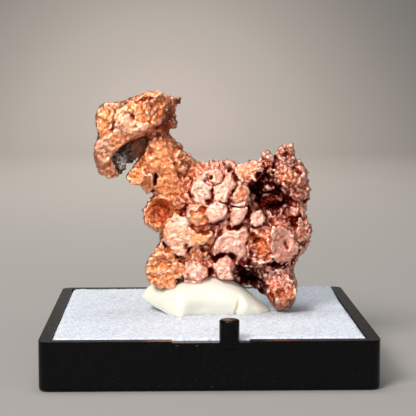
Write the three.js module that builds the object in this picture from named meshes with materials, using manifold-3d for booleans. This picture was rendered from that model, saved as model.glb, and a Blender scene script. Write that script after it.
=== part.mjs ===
// A native copper nugget on its display base: a shallow square plastic tray, the white foam pad that
// fills it, the lump of mineral tack pressed on the pad, the nugget set in the tack and on the pad, and
// the dark piece of host rock that is still held in the nugget's hood.
//
// Millimetres, +Z up. The origin is the middle of the tray's underside. X runs to the right and Y to the
// back, seen from the side of the tray that carries the peg.

import * as THREE from "three";
import { mergeVertices } from "three/addons/utils/BufferGeometryUtils.js";
import Module from "manifold-3d";

const wasm = await Module();
wasm.setup();

// Driving dimensions.
const tray = {
  side: 31.75, // a 1 1/4 inch thumbnail base
  height: 4.7,
  wall: 1.1,
  floor: 1.0,
  cornerRadius: 1.0,
  pocketRadius: 0.3,
  footRadius: 0.4, // rounding along the underside
  cornerSteps: 4,
};
const peg = { x: 1.8, radius: 0.94, top: 6.65, bottom: 3.95, proud: 0.3, bevel: 0.22, sides: 24 };
const rib = { spots: [-3.0, -1.15], radius: 0.4, proud: 0.2, bottom: 3.1, sides: 12 };
const rimDip = { from: -3.5, to: 3.7, depth: 0.22 }; // the low stretch of rim behind the peg
const foam = { clearance: 0.1, proud: 0.05, backCornerLift: 0.35, edge: 0.3 };
const restGap = 0.25; // air between pieces that touch
const shortestEdge = 0.3; // of a lumpy surface
const foamTop = tray.height + foam.proud;

const degrees = Math.PI / 180;
const front = -tray.side / 2;

// Solids.

function solidOf(geometry) {
  const bare = geometry.clone();
  bare.deleteAttribute("normal");
  bare.deleteAttribute("uv");
  const merged = mergeVertices(bare, 1e-4);
  return new wasm.Manifold(
    new wasm.Mesh({
      numProp: 3,
      vertProperties: new Float32Array(merged.attributes.position.array),
      triVerts: new Uint32Array(merged.index.array),
    }),
  );
}

function geometryOf(solid) {
  const mesh = solid.getMesh();
  const geometry = new THREE.BufferGeometry();
  geometry.setAttribute("position", new THREE.BufferAttribute(mesh.vertProperties, 3));
  geometry.setIndex(new THREE.BufferAttribute(mesh.triVerts, 1));
  geometry.computeVertexNormals();
  return geometry;
}

function joined(solids) {
  return solids.reduce((sum, solid) => sum.add(solid));
}

function roundedSquare(side, radius) {
  const h = side / 2;
  const shape = new THREE.Shape();
  shape.moveTo(-h + radius, -h);
  shape.lineTo(h - radius, -h);
  shape.absarc(h - radius, -h + radius, radius, -Math.PI / 2, 0);
  shape.lineTo(h, h - radius);
  shape.absarc(h - radius, h - radius, radius, 0, Math.PI / 2);
  shape.lineTo(-h + radius, h);
  shape.absarc(-h + radius, h - radius, radius, Math.PI / 2, Math.PI);
  shape.lineTo(-h, -h + radius);
  shape.absarc(-h + radius, -h + radius, radius, Math.PI, 1.5 * Math.PI);
  return shape;
}

// A square slab from z = bottom to z = top, with its lower edge rounded by foot.
function squareSlab({ side, radius, bottom, top, foot = 0 }) {
  const inner = roundedSquare(side - 2 * foot, Math.max(radius - foot, 0.05));
  const geometry = new THREE.ExtrudeGeometry(inner, {
    depth: top - bottom - 2 * foot,
    bevelEnabled: foot > 0,
    bevelSize: foot,
    bevelThickness: foot,
    bevelSegments: 3,
    curveSegments: tray.cornerSteps,
  });
  return geometry.translate(0, 0, bottom + foot);
}

function uprightRod({ x, y, radius, bottom, top, bevel, sides }) {
  const profile = [
    new THREE.Vector2(0, bottom),
    new THREE.Vector2(radius - bevel, bottom),
    new THREE.Vector2(radius, bottom + bevel),
    new THREE.Vector2(radius, top - bevel),
    new THREE.Vector2(radius - 0.3 * bevel, top - 0.3 * bevel),
    new THREE.Vector2(radius - bevel, top),
    new THREE.Vector2(0, top),
  ];
  return new THREE.LatheGeometry(profile, sides).rotateX(Math.PI / 2).translate(x, y, 0);
}

// The tray: four walls and a floor, a peg and two half-round ribs moulded on its front wall.

function makeTray() {
  const block = solidOf(
    squareSlab({
      side: tray.side,
      radius: tray.cornerRadius,
      bottom: 0,
      top: tray.height + tray.footRadius,
      foot: tray.footRadius,
    }),
  );
  const above = solidOf(
    new THREE.BoxGeometry(2 * tray.side, 2 * tray.side, 2).translate(0, 0, tray.height + 1),
  );
  const pocket = solidOf(
    squareSlab({
      side: tray.side - 2 * tray.wall,
      radius: tray.pocketRadius,
      bottom: tray.floor,
      top: tray.height + 1,
    }),
  );
  const dip = solidOf(
    new THREE.BoxGeometry(rimDip.to - rimDip.from, 3, 1).translate(
      (rimDip.from + rimDip.to) / 2,
      front,
      tray.height - rimDip.depth + 0.5,
    ),
  );
  const ribs = rib.spots.map((x) =>
    solidOf(
      uprightRod({
        ...rib,
        x,
        y: front + rib.radius - rib.proud,
        top: tray.height - rimDip.depth - 0.05,
        bevel: 0.1,
      }),
    ),
  );
  const post = solidOf(uprightRod({ ...peg, y: front + peg.radius - peg.proud }));
  return joined([block.subtract(above).subtract(pocket).subtract(dip), ...ribs, post]);
}

// The foam pad: a square slab that stands a little proud of the rim and lifts at the back right corner.

function makeFoam() {
  const side = tray.side - 2 * (tray.wall + foam.clearance);
  const steps = 8;
  const depth = foamTop - tray.floor;
  const slab = new THREE.BoxGeometry(side, side, depth, steps, steps, 1);
  slab.translate(0, 0, tray.floor + depth / 2);
  const spots = slab.attributes.position;
  for (let i = 0; i < spots.count; i += 1) {
    if (spots.getZ(i) < foamTop - 0.01) continue;
    const toRight = Math.max(0, spots.getX(i) / side - 0.25) / 0.25;
    const toBack = Math.max(0, spots.getY(i) / side - 0.25) / 0.25;
    spots.setZ(i, foamTop + foam.backCornerLift * toRight * toBack);
  }
  const notch = uprightRod({
    ...peg,
    y: front + peg.radius - peg.proud,
    radius: peg.radius + foam.clearance,
    bottom: 0,
    top: 9,
  });
  return solidOf(slab).subtract(solidOf(notch));
}

// Lumps. Native copper grows as a heap of rounded lobes and flat plates, so the nugget is the union of
// ellipsoids: each has a name, a centre, half sizes along its own axes, and turns about X, Y and Z in
// degrees.

const hood = [
  ["crown high", [-5.5, 0.3, 26.2], [1.5, 1.6, 1.25], [0, -18, 0]],
  ["crown low", [-7.2, 0.3, 25.4], [1.95, 1.8, 1.4], [0, -28, 0]],
  ["crown right", [-4.8, 0.5, 25.0], [1.05, 1.5, 1.8], [0, 12, 0]],
  ["brow", [-7.3, -0.6, 24.3], [2.5, 1.3, 1.25], [0, -18, 0]],
  ["cheek back", [-10.0, 1.0, 24.5], [1.25, 1.4, 1.65], [0, 10, 0]],
  ["arm root", [-9.3, -0.2, 23], [2.1, 1.4, 1.25], [0, -32, 0]],
  ["cheek low", [-9.8, 1.2, 23], [1.3, 1.2, 1.2], [0, 0, 0]],
  ["arm bend", [-10.4, -0.2, 21.0], [1.0, 1.2, 1.75], [0, 0, 0]],
  ["arm tip", [-10.1, 0.1, 19.35], [1.0, 0.9, 0.85], [0, 22, 0]],
  ["hood lining", [-7.5, 2.2, 22.8], [2.5, 1.0, 1.7], [0, -40, 0]],
  ["hood back", [-7.4, 2.4, 25.0], [2.7, 1.3, 1.6], [0, -22, 0]],
];

const knobs = [
  ["stalk", [-3.8, 1.6, 25.7], [0.9, 0.9, 1.25], [0, 10, 0]],
  ["horn", [-2.95, 1.8, 26.6], [0.85, 0.5, 0.5], [0, 0, 0]],
  ["horn tip", [-2.5, 1.8, 26.55], [0.36, 0.4, 0.5], [0, 0, 0]],
  ["knob", [-3.6, 1.4, 24.25], [0.8, 0.9, 0.85], [0, 20, 0]],
  ["knob tip", [-3.2, 1.4, 23.85], [0.5, 0.6, 0.5], [0, 30, 0]],
];

const neck = [
  ["throat", [-5.1, 1.0, 22.6], [1.3, 1.4, 1.6], [0, 10, 0]],
  ["neck top", [-5, 0.6, 21.1], [2.2, 1.4, 1.6], [0, 22, 0]],
  ["neck flank", [-6.2, 0.8, 20.2], [1.2, 1, 0.9], [0, 0, 0]],
  ["neck middle", [-3.7, 0.4, 19.5], [2.3, 1.4, 1.9], [0, -35, 0]],
  ["neck foot", [-3.6, 0.4, 17.4], [1.6, 1.4, 1.9], [0, -5, 0]],
  ["nape", [-3.3, 1.4, 21.2], [1.15, 1.2, 1.2], [0, -35, 0]],
  ["nape foot", [-2.1, 1.1, 19.9], [1.1, 1.2, 1.1], [0, 30, 0]],
  ["nape knob", [-2.7, 0.4, 21], [0.6, 0.8, 0.6], [0, 0, 0]],
  ["pendant link", [-6.7, 0.5, 19.6], [0.9, 0.7, 0.9], [0, 0, 0]],
  ["pendant lobe", [-7.0, 0.3, 18.5], [1.15, 0.85, 0.8], [0, 8, 0]],
  ["pendant leaf", [-6.0, 0.2, 18.2], [0.6, 0.5, 1.4], [0, -4, 0]],
  ["cup", [-4.9, 0.7, 15.0], [1.5, 1.4, 1.6], [0, 0, 0]],
  ["cup rim", [-5.3, 0.2, 14.0], [1.2, 1.0, 0.9], [0, 30, 0]],
];

const breast = [
  ["heart", [0.6, 1.3, 16.6], [4.0, 2.9, 3.5], [0, 0, 0]],
  ["breast top", [1.6, 1.6, 18.6], [3.6, 1.7, 1.4], [0, 0, 0]],
  ["breast right", [3.6, 1.8, 17.4], [2.2, 2.0, 2.2], [0, 0, 0]],
  ["breast low", [0.2, 1.0, 14.2], [3.4, 2.6, 1.9], [0, 0, 0]],
  ["plate pale", [-0.5, -1.0, 17.3], [1.15, 1.2, 1.5], [0, -8, 0]],
  ["plate top right", [0.75, -0.6, 18.7], [1.15, 1.2, 0.95], [0, -15, 0]],
  ["plate right", [1.65, -0.9, 17.4], [1.0, 1.2, 1.6], [0, 28, 0]],
  ["plate front", [1.0, -1.6, 15.4], [1.15, 1.2, 1.2], [0, 10, 0]],
  ["plate top left", [-0.3, 0.3, 19.1], [1.3, 1.25, 0.95], [0, 0, 0]],
  ["rough front", [-1.0, -1.3, 14.8], [1.15, 1.2, 1.1], [0, 0, 0]],
  ["rough left", [-2.1, -0.6, 16.5], [1.1, 1.2, 1.3], [0, 0, 0]],
  ["rough shoulder", [-1.9, 0.1, 18.6], [1.0, 1.2, 1.2], [0, 0, 0]],
  ["bud", [1.5, 0.0, 20.0], [0.65, 0.7, 0.75], [0, 0, 0]],
  ["thorn", [-0.25, 0.1, 20], [0.3, 0.4, 0.55], [0, 0, 0]],
  ["lobe right", [3.35, -0.9, 17.1], [1.1, 1.2, 1.15], [0, 0, 0]],
  ["disc tilted", [3.1, -1.2, 15.05], [0.85, 1.2, 1.45], [0, 35, 0]],
  ["disc high", [4.4, 0.2, 19.1], [1.6, 1.3, 0.95], [0, -12, 0]],
];

const tower = [
  ["cave wall", [6.3, 2.7, 16.6], [3.2, 1.8, 2.9], [0, 0, 0]],
  ["tower back", [8.0, 2.2, 18.2], [2.1, 1.7, 2.2], [0, 0, 0]],
  ["lobe top", [6.2, 0.4, 20.0], [0.75, 0.9, 1.0], [0, 0, 0]],
  ["gap wall", [6.8, 1.7, 19.2], [1.3, 1.2, 1.4], [0, 0, 0]],
  ["tower", [8.1, 0.6, 20.2], [0.95, 1.0, 1.35], [0, 5, 0]],
  ["tower head", [8.4, 0.5, 21.15], [1.0, 0.8, 0.5], [0, -12, 0]],
  ["tower bead", [8.95, 0.5, 20], [0.55, 0.6, 0.55], [0, 0, 0]],
  ["tower hook", [8.95, 0.5, 21.45], [0.42, 0.4, 0.34], [0, -40, 0]],
  ["shoulder", [8.2, 0.0, 18.7], [1.2, 1.2, 1.2], [0, 0, 0]],
  ["shoulder right", [9.5, 0.4, 18.4], [1.05, 1.2, 1.25], [0, -12, 0]],
  ["elbow", [10.0, 0.5, 16.9], [0.9, 1.1, 1.3], [0, 0, 0]],
  ["elbow drop", [10.15, 0.5, 15.95], [0.55, 0.7, 0.7], [0, 0, 0]],
  ["shoulder front", [8.9, 0.2, 17.1], [1.0, 1.2, 1.0], [0, 0, 0]],
  ["cave bead", [6.4, 1.1, 17.3], [1.0, 1.0, 1.0], [0, 0, 0]],
];

const belly = [
  ["core", [3.0, 1.4, 12.0], [4.6, 3.0, 3.2], [0, 0, 0]],
  ["core left", [-1.5, 1.0, 12.4], [2.9, 2.4, 2.7], [0, 0, 0]],
  ["core right", [7.3, 1.5, 12.9], [3.0, 2.5, 2.6], [0, 0, 0]],
  ["big plate", [-2.8, -0.8, 12.9], [1.7, 1.4, 2.1], [0, -12, 0]],
  ["big plate wing", [-0.9, -1.0, 12.7], [1.8, 1.2, 0.9], [0, -20, 0]],
  ["big plate tip", [-2.5, -1.0, 11.1], [0.7, 1.1, 0.9], [0, 0, 0]],
  ["rough belt", [-0.7, -0.8, 11.0], [1.1, 1.2, 0.9], [0, 0, 0]],
  ["smooth plate", [2.5, -1.4, 12.2], [1.7, 1.3, 1.35], [0, -12, 0]],
  ["smooth plate foot", [3.2, -1.2, 10.7], [0.8, 1.2, 1.5], [0, -20, 0]],
  ["disc small", [5.3, -0.6, 14.4], [0.85, 1.2, 0.9], [0, 0, 0]],
  ["pocket floor", [5.2, -0.5, 11.6], [1.5, 1.4, 1.7], [0, 0, 0]],
  ["pocket wall right", [6.6, -1.5, 11.9], [0.45, 1.0, 1.9], [0, 2, 0]],
  ["pocket wall low", [5.5, -1.6, 10.35], [1.5, 0.9, 0.45], [0, -9, 0]],
  ["flank", [7.9, -0.8, 12.2], [1.6, 1.4, 1.6], [0, 0, 0]],
  ["notch bead", [9.0, 0.2, 14.7], [0.75, 1.0, 0.8], [0, 10, 0]],
  ["hip", [9.9, 0.3, 13.1], [1.05, 1.3, 1.35], [0, -8, 0]],
  ["hip low", [9.6, 0.5, 11.5], [0.95, 1.1, 1.2], [0, 20, 0]],
  ["hip drop", [9.3, 0.3, 10.9], [0.6, 0.8, 0.75], [0, 10, 0]],
  ["arch bead", [1.8, -0.9, 9.6], [1.0, 1.2, 0.9], [0, 0, 0]],
  ["bead pink", [-1.15, -0.8, 9.1], [1.05, 1.2, 0.95], [0, 0, 0]],
];

const feet = [
  ["fan", [-4.2, -0.4, 9.3], [1.65, 1.4, 1.8], [0, 20, 0]],
  ["fan top", [-4.7, 0.2, 10.4], [0.75, 1.1, 1.2], [0, 32, 0]],
  ["fan link", [-2.2, 1.3, 10.2], [2.4, 2.0, 1.9], [0, 15, 0]],
  ["fan foot", [-4.0, 0.0, 8.0], [1.5, 1.3, 0.8], [0, 0, 0]],
  ["leg head", [8.0, 0.6, 10.0], [1.4, 1.5, 1.4], [0, 0, 0]],
  ["leg ridge", [7.1, 0.0, 9.1], [1.6, 1.45, 0.9], [0, 12, 0]],
  ["leg", [8.1, -0.4, 8.2], [1.1, 1.3, 1.5], [0, -5, 0]],
  ["leg strip", [8.9, 0.2, 7.9], [0.45, 0.8, 1.3], [0, -6, 0]],
  ["leg thorn", [8.95, 0.3, 9.3], [0.5, 0.5, 0.4], [0, 0, 0]],
  ["leg back", [6.6, 0.9, 7.7], [1.6, 1.2, 1.7], [0, 0, 0]],
  ["foot", [7.9, -1.2, 6.1], [1.45, 1.35, 1.25], [0, 0, 0]],
  ["foot neck", [7.9, -0.8, 7.2], [1, 1, 0.9], [0, 0, 0]],
  ["hidden leg", [3.9, 2.2, 8.8], [1.8, 1.6, 2.0], [0, 0, 0]],
  ["slot slab", [4.55, 1.1, 8.3], [0.5, 1.45, 1.3], [0, -25, 0]],
];

const back = [
  ["back plate", [0.2, 3.3, 17.6], [1.8, 1.1, 1.5], [0, 20, 0]],
  ["back lobe", [-1.8, 2.9, 14.4], [1.7, 1.2, 1.6], [0, 0, 0]],
  ["back disc", [1.4, 3.9, 12.6], [2.0, 0.9, 1.6], [0, 15, 0]],
  ["back ridge", [4.8, 4.0, 14.6], [1.2, 1.0, 2.4], [0, 25, 0]],
  ["back shoulder", [7.2, 3.8, 17.3], [1.8, 1.0, 1.8], [0, -20, 0]],
  ["back seat", [0.4, 2.9, 9.8], [2.3, 1.3, 1.4], [0, 0, 0]],
  ["back neck", [-4.4, 2.0, 19.4], [1.4, 1.0, 2.0], [0, -35, 0]],
];

const hollows = [
  ["cup bowl", [-4.7, -0.95, 15.1], [0.95, 0.9, 0.85], [0, 0, 0]],
  ["cave", [5.9, -0.6, 16.9], [1.5, 1.7, 1.3], [0, 0, 0]],
  ["pocket", [5.3, -2.3, 11.8], [0.85, 1.0, 1.0], [0, 0, 0]],
];

const allLumps = [...hood, ...knobs, ...neck, ...breast, ...tower, ...belly, ...feet, ...back];
const isLow = ([, centre, halfSizes]) => centre[2] - Math.max(...halfSizes) < 9;

const rock = [
  ["rock body", [-7.5, 0.7, 21.6], [2.2, 1.1, 1.15], [0, -42, 0]],
  ["rock pale end", [-9, 0.4, 20.4], [0.8, 0.8, 0.75], [0, 0, 0]],
  ["rock tip", [-8.7, 0.3, 19.65], [0.5, 0.6, 0.75], [0, 20, 0]],
];

const tack = [
  ["loaf", [0.0, 0.7, 5.6], [4.4, 3.4, 2.9], [0, 0, 0]],
  ["loaf end", [-5.0, 1.0, 5.95], [1.7, 2.1, 1.55], [0, 0, 0]],
  ["loaf left", [-3.2, 0.7, 5.5], [2.6, 3, 2], [0, 8, 0]],
  ["loaf front", [-2.8, -1, 5], [2.4, 2.5, 1.6], [0, 0, 0]],
  ["loaf brink", [0.6, -0.9, 5.6], [2.6, 2.1, 1.9], [0, 0, 0]],
  ["slope", [4.1, 0.2, 5.2], [2.2, 3, 1.7], [0, 25, 0]],
  ["toe", [5.2, -0.2, 4.8], [1.3, 1.9, 0.9], [0, 10, 0]],
];

// A lump's surface rises and falls a little, so that no two lobes are alike.
function unevenness(x, y, z) {
  return (Math.sin(2.3 * x + 1.1 * z) + Math.sin(2.9 * y - 1.7 * x) + Math.sin(2.6 * z + 1.9 * y)) / 3;
}

function lump([, centre, halfSizes, turns], { grow = 0, roughness = 0.1, fineness } = {}) {
  const detail = fineness ?? (Math.max(...halfSizes) > 1.5 ? 2 : 1);
  const geometry = new THREE.IcosahedronGeometry(1, detail);
  const at = new THREE.Vector3(...centre);
  const turn = new THREE.Euler(...turns.map((angle) => angle * degrees));
  const point = new THREE.Vector3();
  const spots = geometry.attributes.position;
  for (let i = 0; i < spots.count; i += 1) {
    point.fromBufferAttribute(spots, i);
    const out = 1 + roughness * unevenness(...point.clone().multiplyScalar(1.6).add(at).toArray());
    point.set(
      point.x * (halfSizes[0] * out + grow),
      point.y * (halfSizes[1] * out + grow),
      point.z * (halfSizes[2] * out + grow),
    );
    point.applyEuler(turn).add(at);
    spots.setXYZ(i, ...point.toArray());
  }
  return solidOf(geometry);
}

// Only the outer skin is kept, so that no closed void is left inside a heap of lumps.
function outerSkin(solid) {
  return solid.decompose().reduce((most, one) => (one.volume() > most.volume() ? one : most));
}

function heapOf(lumps, options) {
  return joined(lumps.map((one) => lump(one, options)));
}

// Where lobes meet, the seams are full of tiny slivers. Each edge shorter than the shortest one wanted is
// closed to its middle, wherever that keeps the surface whole and doesn't fold it.
function withoutSlivers(solid, shortest) {
  const mesh = solid.getMesh();
  const points = [];
  for (let i = 0; i < mesh.numVert; i += 1) {
    points.push(new THREE.Vector3().fromArray(mesh.vertProperties, 3 * i));
  }
  const faces = [];
  const facesAt = points.map(() => new Set());
  for (let i = 0; i < mesh.numTri; i += 1) {
    faces.push(Array.from(mesh.triVerts.slice(3 * i, 3 * i + 3)));
    faces[i].forEach((corner) => facesAt[corner].add(i));
  }
  const triangle = new THREE.Triangle();
  const normalOf = (corners, moved, to) => {
    const [a, b, c] = corners.map((corner) => (moved.includes(corner) ? to : points[corner]));
    triangle.set(a, b, c);
    return triangle.getNormal(new THREE.Vector3());
  };
  const neighbours = (corner) => {
    const around = new Set();
    facesAt[corner].forEach((i) => faces[i].forEach((other) => around.add(other)));
    around.delete(corner);
    return around;
  };
  const canClose = (a, b, middle) => {
    const aroundB = neighbours(b);
    const shared = [...neighbours(a)].filter((corner) => aroundB.has(corner));
    if (shared.length !== 2) return false;
    const touched = new Set([...facesAt[a], ...facesAt[b]]);
    for (const i of touched) {
      const corners = faces[i];
      if (corners.includes(a) && corners.includes(b)) continue;
      const before = normalOf(corners, [], middle);
      const after = normalOf(corners, [a, b], middle);
      triangle.set(...corners.map((corner) => (corner === a || corner === b ? middle : points[corner])));
      if (triangle.getArea() < 1e-4) return false;
      if (before.lengthSq() > 0.5 && before.dot(after) < 0.45) return false;
    }
    return true;
  };
  const edges = [];
  let closing = true;
  while (closing) {
    closing = false;
    edges.length = 0;
    faces.forEach((corners) => {
      if (!corners) return;
      for (let k = 0; k < 3; k += 1) {
        const [a, b] = [corners[k], corners[(k + 1) % 3]];
        const length = points[a].distanceTo(points[b]);
        if (a < b && length < shortest) edges.push([length, a, b]);
      }
    });
    edges.sort((one, other) => one[0] - other[0]);
    for (const [, a, b] of edges) {
      if (facesAt[a].size === 0 || facesAt[b].size === 0) continue;
      if (points[a].distanceTo(points[b]) >= shortest) continue;
      if (![...facesAt[a]].some((i) => faces[i].includes(b))) continue;
      const middle = points[a].clone().lerp(points[b], 0.5);
      if (!canClose(a, b, middle)) continue;
      points[a].copy(middle);
      for (const i of [...facesAt[b]]) {
        if (faces[i].includes(a)) {
          faces[i].forEach((corner) => facesAt[corner].delete(i));
          faces[i] = null;
        } else {
          faces[i] = faces[i].map((corner) => (corner === b ? a : corner));
          facesAt[a].add(i);
        }
      }
      facesAt[b].clear();
      closing = true;
    }
  }
  const geometry = new THREE.BufferGeometry().setFromPoints(points);
  geometry.setIndex(faces.filter((corners) => corners).flat());
  return solidOf(geometry);
}

const socket = heapOf(rock, { grow: restGap });
const nuggetHeap = heapOf(allLumps).subtract(heapOf(hollows)).subtract(socket);
const nugget = withoutSlivers(outerSkin(nuggetHeap), shortestEdge);

const pad = makeFoam();
const abovePad = solidOf(new THREE.BoxGeometry(40, 40, 20).translate(0, 0, foamTop + 10));
const imprint = heapOf(allLumps.filter(isLow), { grow: restGap });
const putty = withoutSlivers(
  outerSkin(heapOf(tack, { fineness: 3, roughness: 0.05 }).intersect(abovePad).subtract(imprint)),
  shortestEdge,
);

const pieces = new THREE.Group();

function addPiece(name, solid, look) {
  const mesh = new THREE.Mesh(geometryOf(solid), new THREE.MeshStandardMaterial(look));
  mesh.name = name;
  pieces.add(mesh);
}

addPiece("tray", makeTray(), { color: 0x15161a, roughness: 0.35, metalness: 0 });
addPiece("foam_pad", pad, { color: 0xe6e8ee, roughness: 0.9, metalness: 0 });
addPiece("mineral_tack", putty, { color: 0xf0eee0, roughness: 0.7, metalness: 0 });
addPiece("copper_nugget", nugget, { color: 0xc6704a, roughness: 0.4, metalness: 1 });
addPiece("host_rock", heapOf(rock), { color: 0x5a5654, roughness: 0.8, metalness: 0 });

export default pieces;
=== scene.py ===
import math

import bmesh
import bpy
import numpy as np
from mathutils import Matrix, Vector, noise
from mathutils.bvhtree import BVHTree


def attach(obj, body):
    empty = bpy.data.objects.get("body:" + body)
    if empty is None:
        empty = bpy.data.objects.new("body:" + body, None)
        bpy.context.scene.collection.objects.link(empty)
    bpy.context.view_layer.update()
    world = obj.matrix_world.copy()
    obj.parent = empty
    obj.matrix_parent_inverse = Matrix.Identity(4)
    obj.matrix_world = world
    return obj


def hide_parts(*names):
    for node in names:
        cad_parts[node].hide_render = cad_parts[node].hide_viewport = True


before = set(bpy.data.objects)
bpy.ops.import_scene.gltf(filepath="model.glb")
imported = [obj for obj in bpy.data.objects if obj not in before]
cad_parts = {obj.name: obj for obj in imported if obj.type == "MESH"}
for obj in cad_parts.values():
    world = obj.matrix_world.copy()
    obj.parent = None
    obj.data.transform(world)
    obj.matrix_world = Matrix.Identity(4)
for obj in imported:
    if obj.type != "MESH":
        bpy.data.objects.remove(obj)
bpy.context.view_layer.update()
scene = bpy.context.scene
mm = 0.001
print("frame loaded")


def linear(code):
    # sRGB hex to linear
    values = [int(code[i:i + 2], 16) / 255 for i in (1, 3, 5)]
    return tuple(v / 12.92 if v <= 0.04045 else ((v + 0.055) / 1.055) ** 2.4 for v in values) + (1,)


def addNode(tree, kind, settings=None, links=None):
    # settings: properties, sockets by name or number, and a colour ramp's stops; links: socket to an output
    node = tree.nodes.new("ShaderNode" + kind)
    for key, value in (settings or {}).items():
        if key == "stops":
            elements = node.color_ramp.elements
            while len(elements) < len(value):
                elements.new(0.5)
            for element, (position, code) in zip(elements, value):
                element.position = position
                element.color = linear(code)
        elif isinstance(key, int) or key in node.inputs:
            node.inputs[key].default_value = value
        else:
            setattr(node, key, value)
    for key, source in (links or {}).items():
        tree.links.new(source, node.inputs[key])
    return node


def newMaterial(name, shader):
    material = bpy.data.materials.new(name)
    material.use_nodes = True
    tree = material.node_tree
    tree.nodes.clear()
    bsdf = addNode(tree, "BsdfPrincipled", shader)
    addNode(tree, "OutputMaterial", links={"Surface": bsdf.outputs["BSDF"]})
    place = addNode(tree, "TexCoord").outputs["Object"]
    return material, tree, bsdf, place


def placed(name, data):
    thing = bpy.data.objects.new(name, data)
    scene.collection.objects.link(thing)
    return thing


def meshOf(bm, name):
    mesh = bpy.data.meshes.new(name)
    bm.to_mesh(mesh)
    bm.free()
    return mesh


def joinTo(bm, small):
    # one small shape joins the heap in bm
    mesh = meshOf(small, "part")
    bm.from_mesh(mesh)
    bpy.data.meshes.remove(mesh)


def applied(holder):
    # the mesh that an object's modifiers make; the object itself goes
    graph = bpy.context.evaluated_depsgraph_get()
    mesh = bpy.data.meshes.new_from_object(holder.evaluated_get(graph))
    source = holder.data
    bpy.data.objects.remove(holder)
    bpy.data.meshes.remove(source)
    return mesh


def finishPiece(name, mesh, material, replaced):
    piece = placed(name, mesh)
    mesh.materials.clear()
    mesh.materials.append(material)
    for polygon in mesh.polygons:
        polygon.use_smooth = True
    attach(piece, "root")
    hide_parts(replaced)
    return piece


def bevelEdges(bm, edges, offset, segments):
    bmesh.ops.bevel(
        bm, geom=edges, offset=offset, segments=segments, affect="EDGES", profile=0.5, material=-1,
    )


def addLump(bm, centre, half):
    # an ellipsoid with the given half sizes, in mm
    small = bmesh.new()
    bmesh.ops.create_icosphere(small, subdivisions=2, radius=1)
    for vert in small.verts:
        vert.co = Vector([along * size for along, size in zip(vert.co, half)])
    bmesh.ops.translate(small, verts=small.verts[:], vec=centre)
    joinTo(bm, small)


def solidInMm(node):
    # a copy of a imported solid, whole and in mm
    bm = bmesh.new()
    bm.from_mesh(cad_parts[node].data)
    bmesh.ops.scale(bm, verts=bm.verts[:], vec=(1 / mm,) * 3)
    bmesh.ops.remove_doubles(bm, verts=bm.verts[:], dist=0.002)
    return bm


def remeshed(bm, voxel):
    # one closed skin around everything in bm, which is in mm
    holder = placed("heap", meshOf(bm, "heap"))
    modifier = holder.modifiers.new("skin", "REMESH")
    modifier.mode = "VOXEL"
    modifier.voxel_size = voxel
    return applied(holder)


def getPoints(mesh, what="co"):
    points = np.empty(len(mesh.vertices) * 3, np.float32)
    mesh.vertices.foreach_get(what, points)
    return points.reshape(-1, 3).astype(float)


def getNormals(mesh):
    return getPoints(mesh, "normal")


def setPoints(mesh, points):
    mesh.vertices.foreach_set("co", points.astype(np.float32).ravel())
    mesh.update()


def getEdges(mesh):
    edges = np.empty(len(mesh.edges) * 2, np.int32)
    mesh.edges.foreach_get("vertices", edges)
    return edges.reshape(-1, 2)


def setAttribute(mesh, name, values):
    attribute = mesh.attributes.new(name, "FLOAT", "POINT")
    attribute.data.foreach_set("value", values.astype(np.float32))


def treeOf(mesh):
    points = [tuple(p) for p in getPoints(mesh)]
    return BVHTree.FromPolygons(points, [tuple(p.vertices) for p in mesh.polygons])


def spread(values, edges, rounds, share=0.5):
    # averages values over neighbouring vertices, so it also smooths points
    count = np.bincount(edges.ravel(), minlength=len(values)).reshape((-1,) + (1,) * (values.ndim - 1))
    count = np.maximum(count, 1)
    for _ in range(rounds):
        total = np.zeros_like(values)
        np.add.at(total, edges[:, 0], values[edges[:, 1]])
        np.add.at(total, edges[:, 1], values[edges[:, 0]])
        values = values * (1 - share) + share * total / count
    return values


def smoothStep(value, low, high):
    t = np.clip((value - low) / (high - low), 0, 1)
    return t * t * (3 - 2 * t)


def bellCurve(distance, width):
    return np.exp(-(distance / width) ** 2)


def cells(points, size, seed):
    # scattered seeds: how far the nearest is, the gap to the next, the height on a tilted plane, and a shade
    wrap = 32 # the seeds repeat after this many cells
    table = np.random.default_rng(seed).random((wrap, wrap, wrap, 6))
    scaled = points / size
    base = np.floor(scaled).astype(int)
    first = np.full(len(points), 9.0)
    second = np.full(len(points), 9.0)
    tilt = np.zeros(len(points))
    shade = np.zeros(len(points))
    for offset in np.ndindex(3, 3, 3):
        cell = base + np.array(offset) - 1
        row = table[cell[:, 0] % wrap, cell[:, 1] % wrap, cell[:, 2] % wrap]
        away = scaled - (cell + row[:, :3])
        distance = np.linalg.norm(away, axis=1)
        nearer = distance < first
        second = np.where(nearer, first, np.minimum(second, distance))
        first = np.where(nearer, distance, first)
        tilt = np.where(nearer, (away * (row[:, 3:] * 2 - 1)).sum(1), tilt)
        shade = np.where(nearer, row[:, 3], shade)
    return {"near": first, "gap": second - first, "tilt": tilt, "shade": shade}


def waves(points, size, seed, octaves=3):
    offset = Vector((seed * 13.7, seed * 7.1, seed * 3.3))
    return np.array([
        noise.fractal(Vector(point) / size + offset, 0.9, 2.1, octaves, noise_basis="PERLIN_ORIGINAL")
        for point in points
    ])


def openness(mesh, rays, reach, seed):
    # the share of the sky that each vertex sees within reach
    points = getPoints(mesh)
    normals = getNormals(mesh)
    tree = treeOf(mesh)
    rng = np.random.default_rng(seed)
    free = np.zeros(len(points))
    fan, clear = 0.62, 0.06 # the rays fan out round the normal, from just off the surface
    for _ in range(rays):
        way = normals + rng.normal(size=normals.shape) * fan
        way /= np.linalg.norm(way, axis=1)[:, None] + 1e-9
        start = points + normals * clear
        for i in range(len(points)):
            if tree.ray_cast(Vector(start[i]), Vector(way[i]), reach)[0] is None:
                free[i] += 1
    return free / rays


cameraSettings = {
    "place": (-3.675, -141.426, 29.877), "down": 5.829, "turn": 1.587, "lens": 119.9, "sensor": 36,
    "near": 0.005, "far": 10, # metres
}


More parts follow.
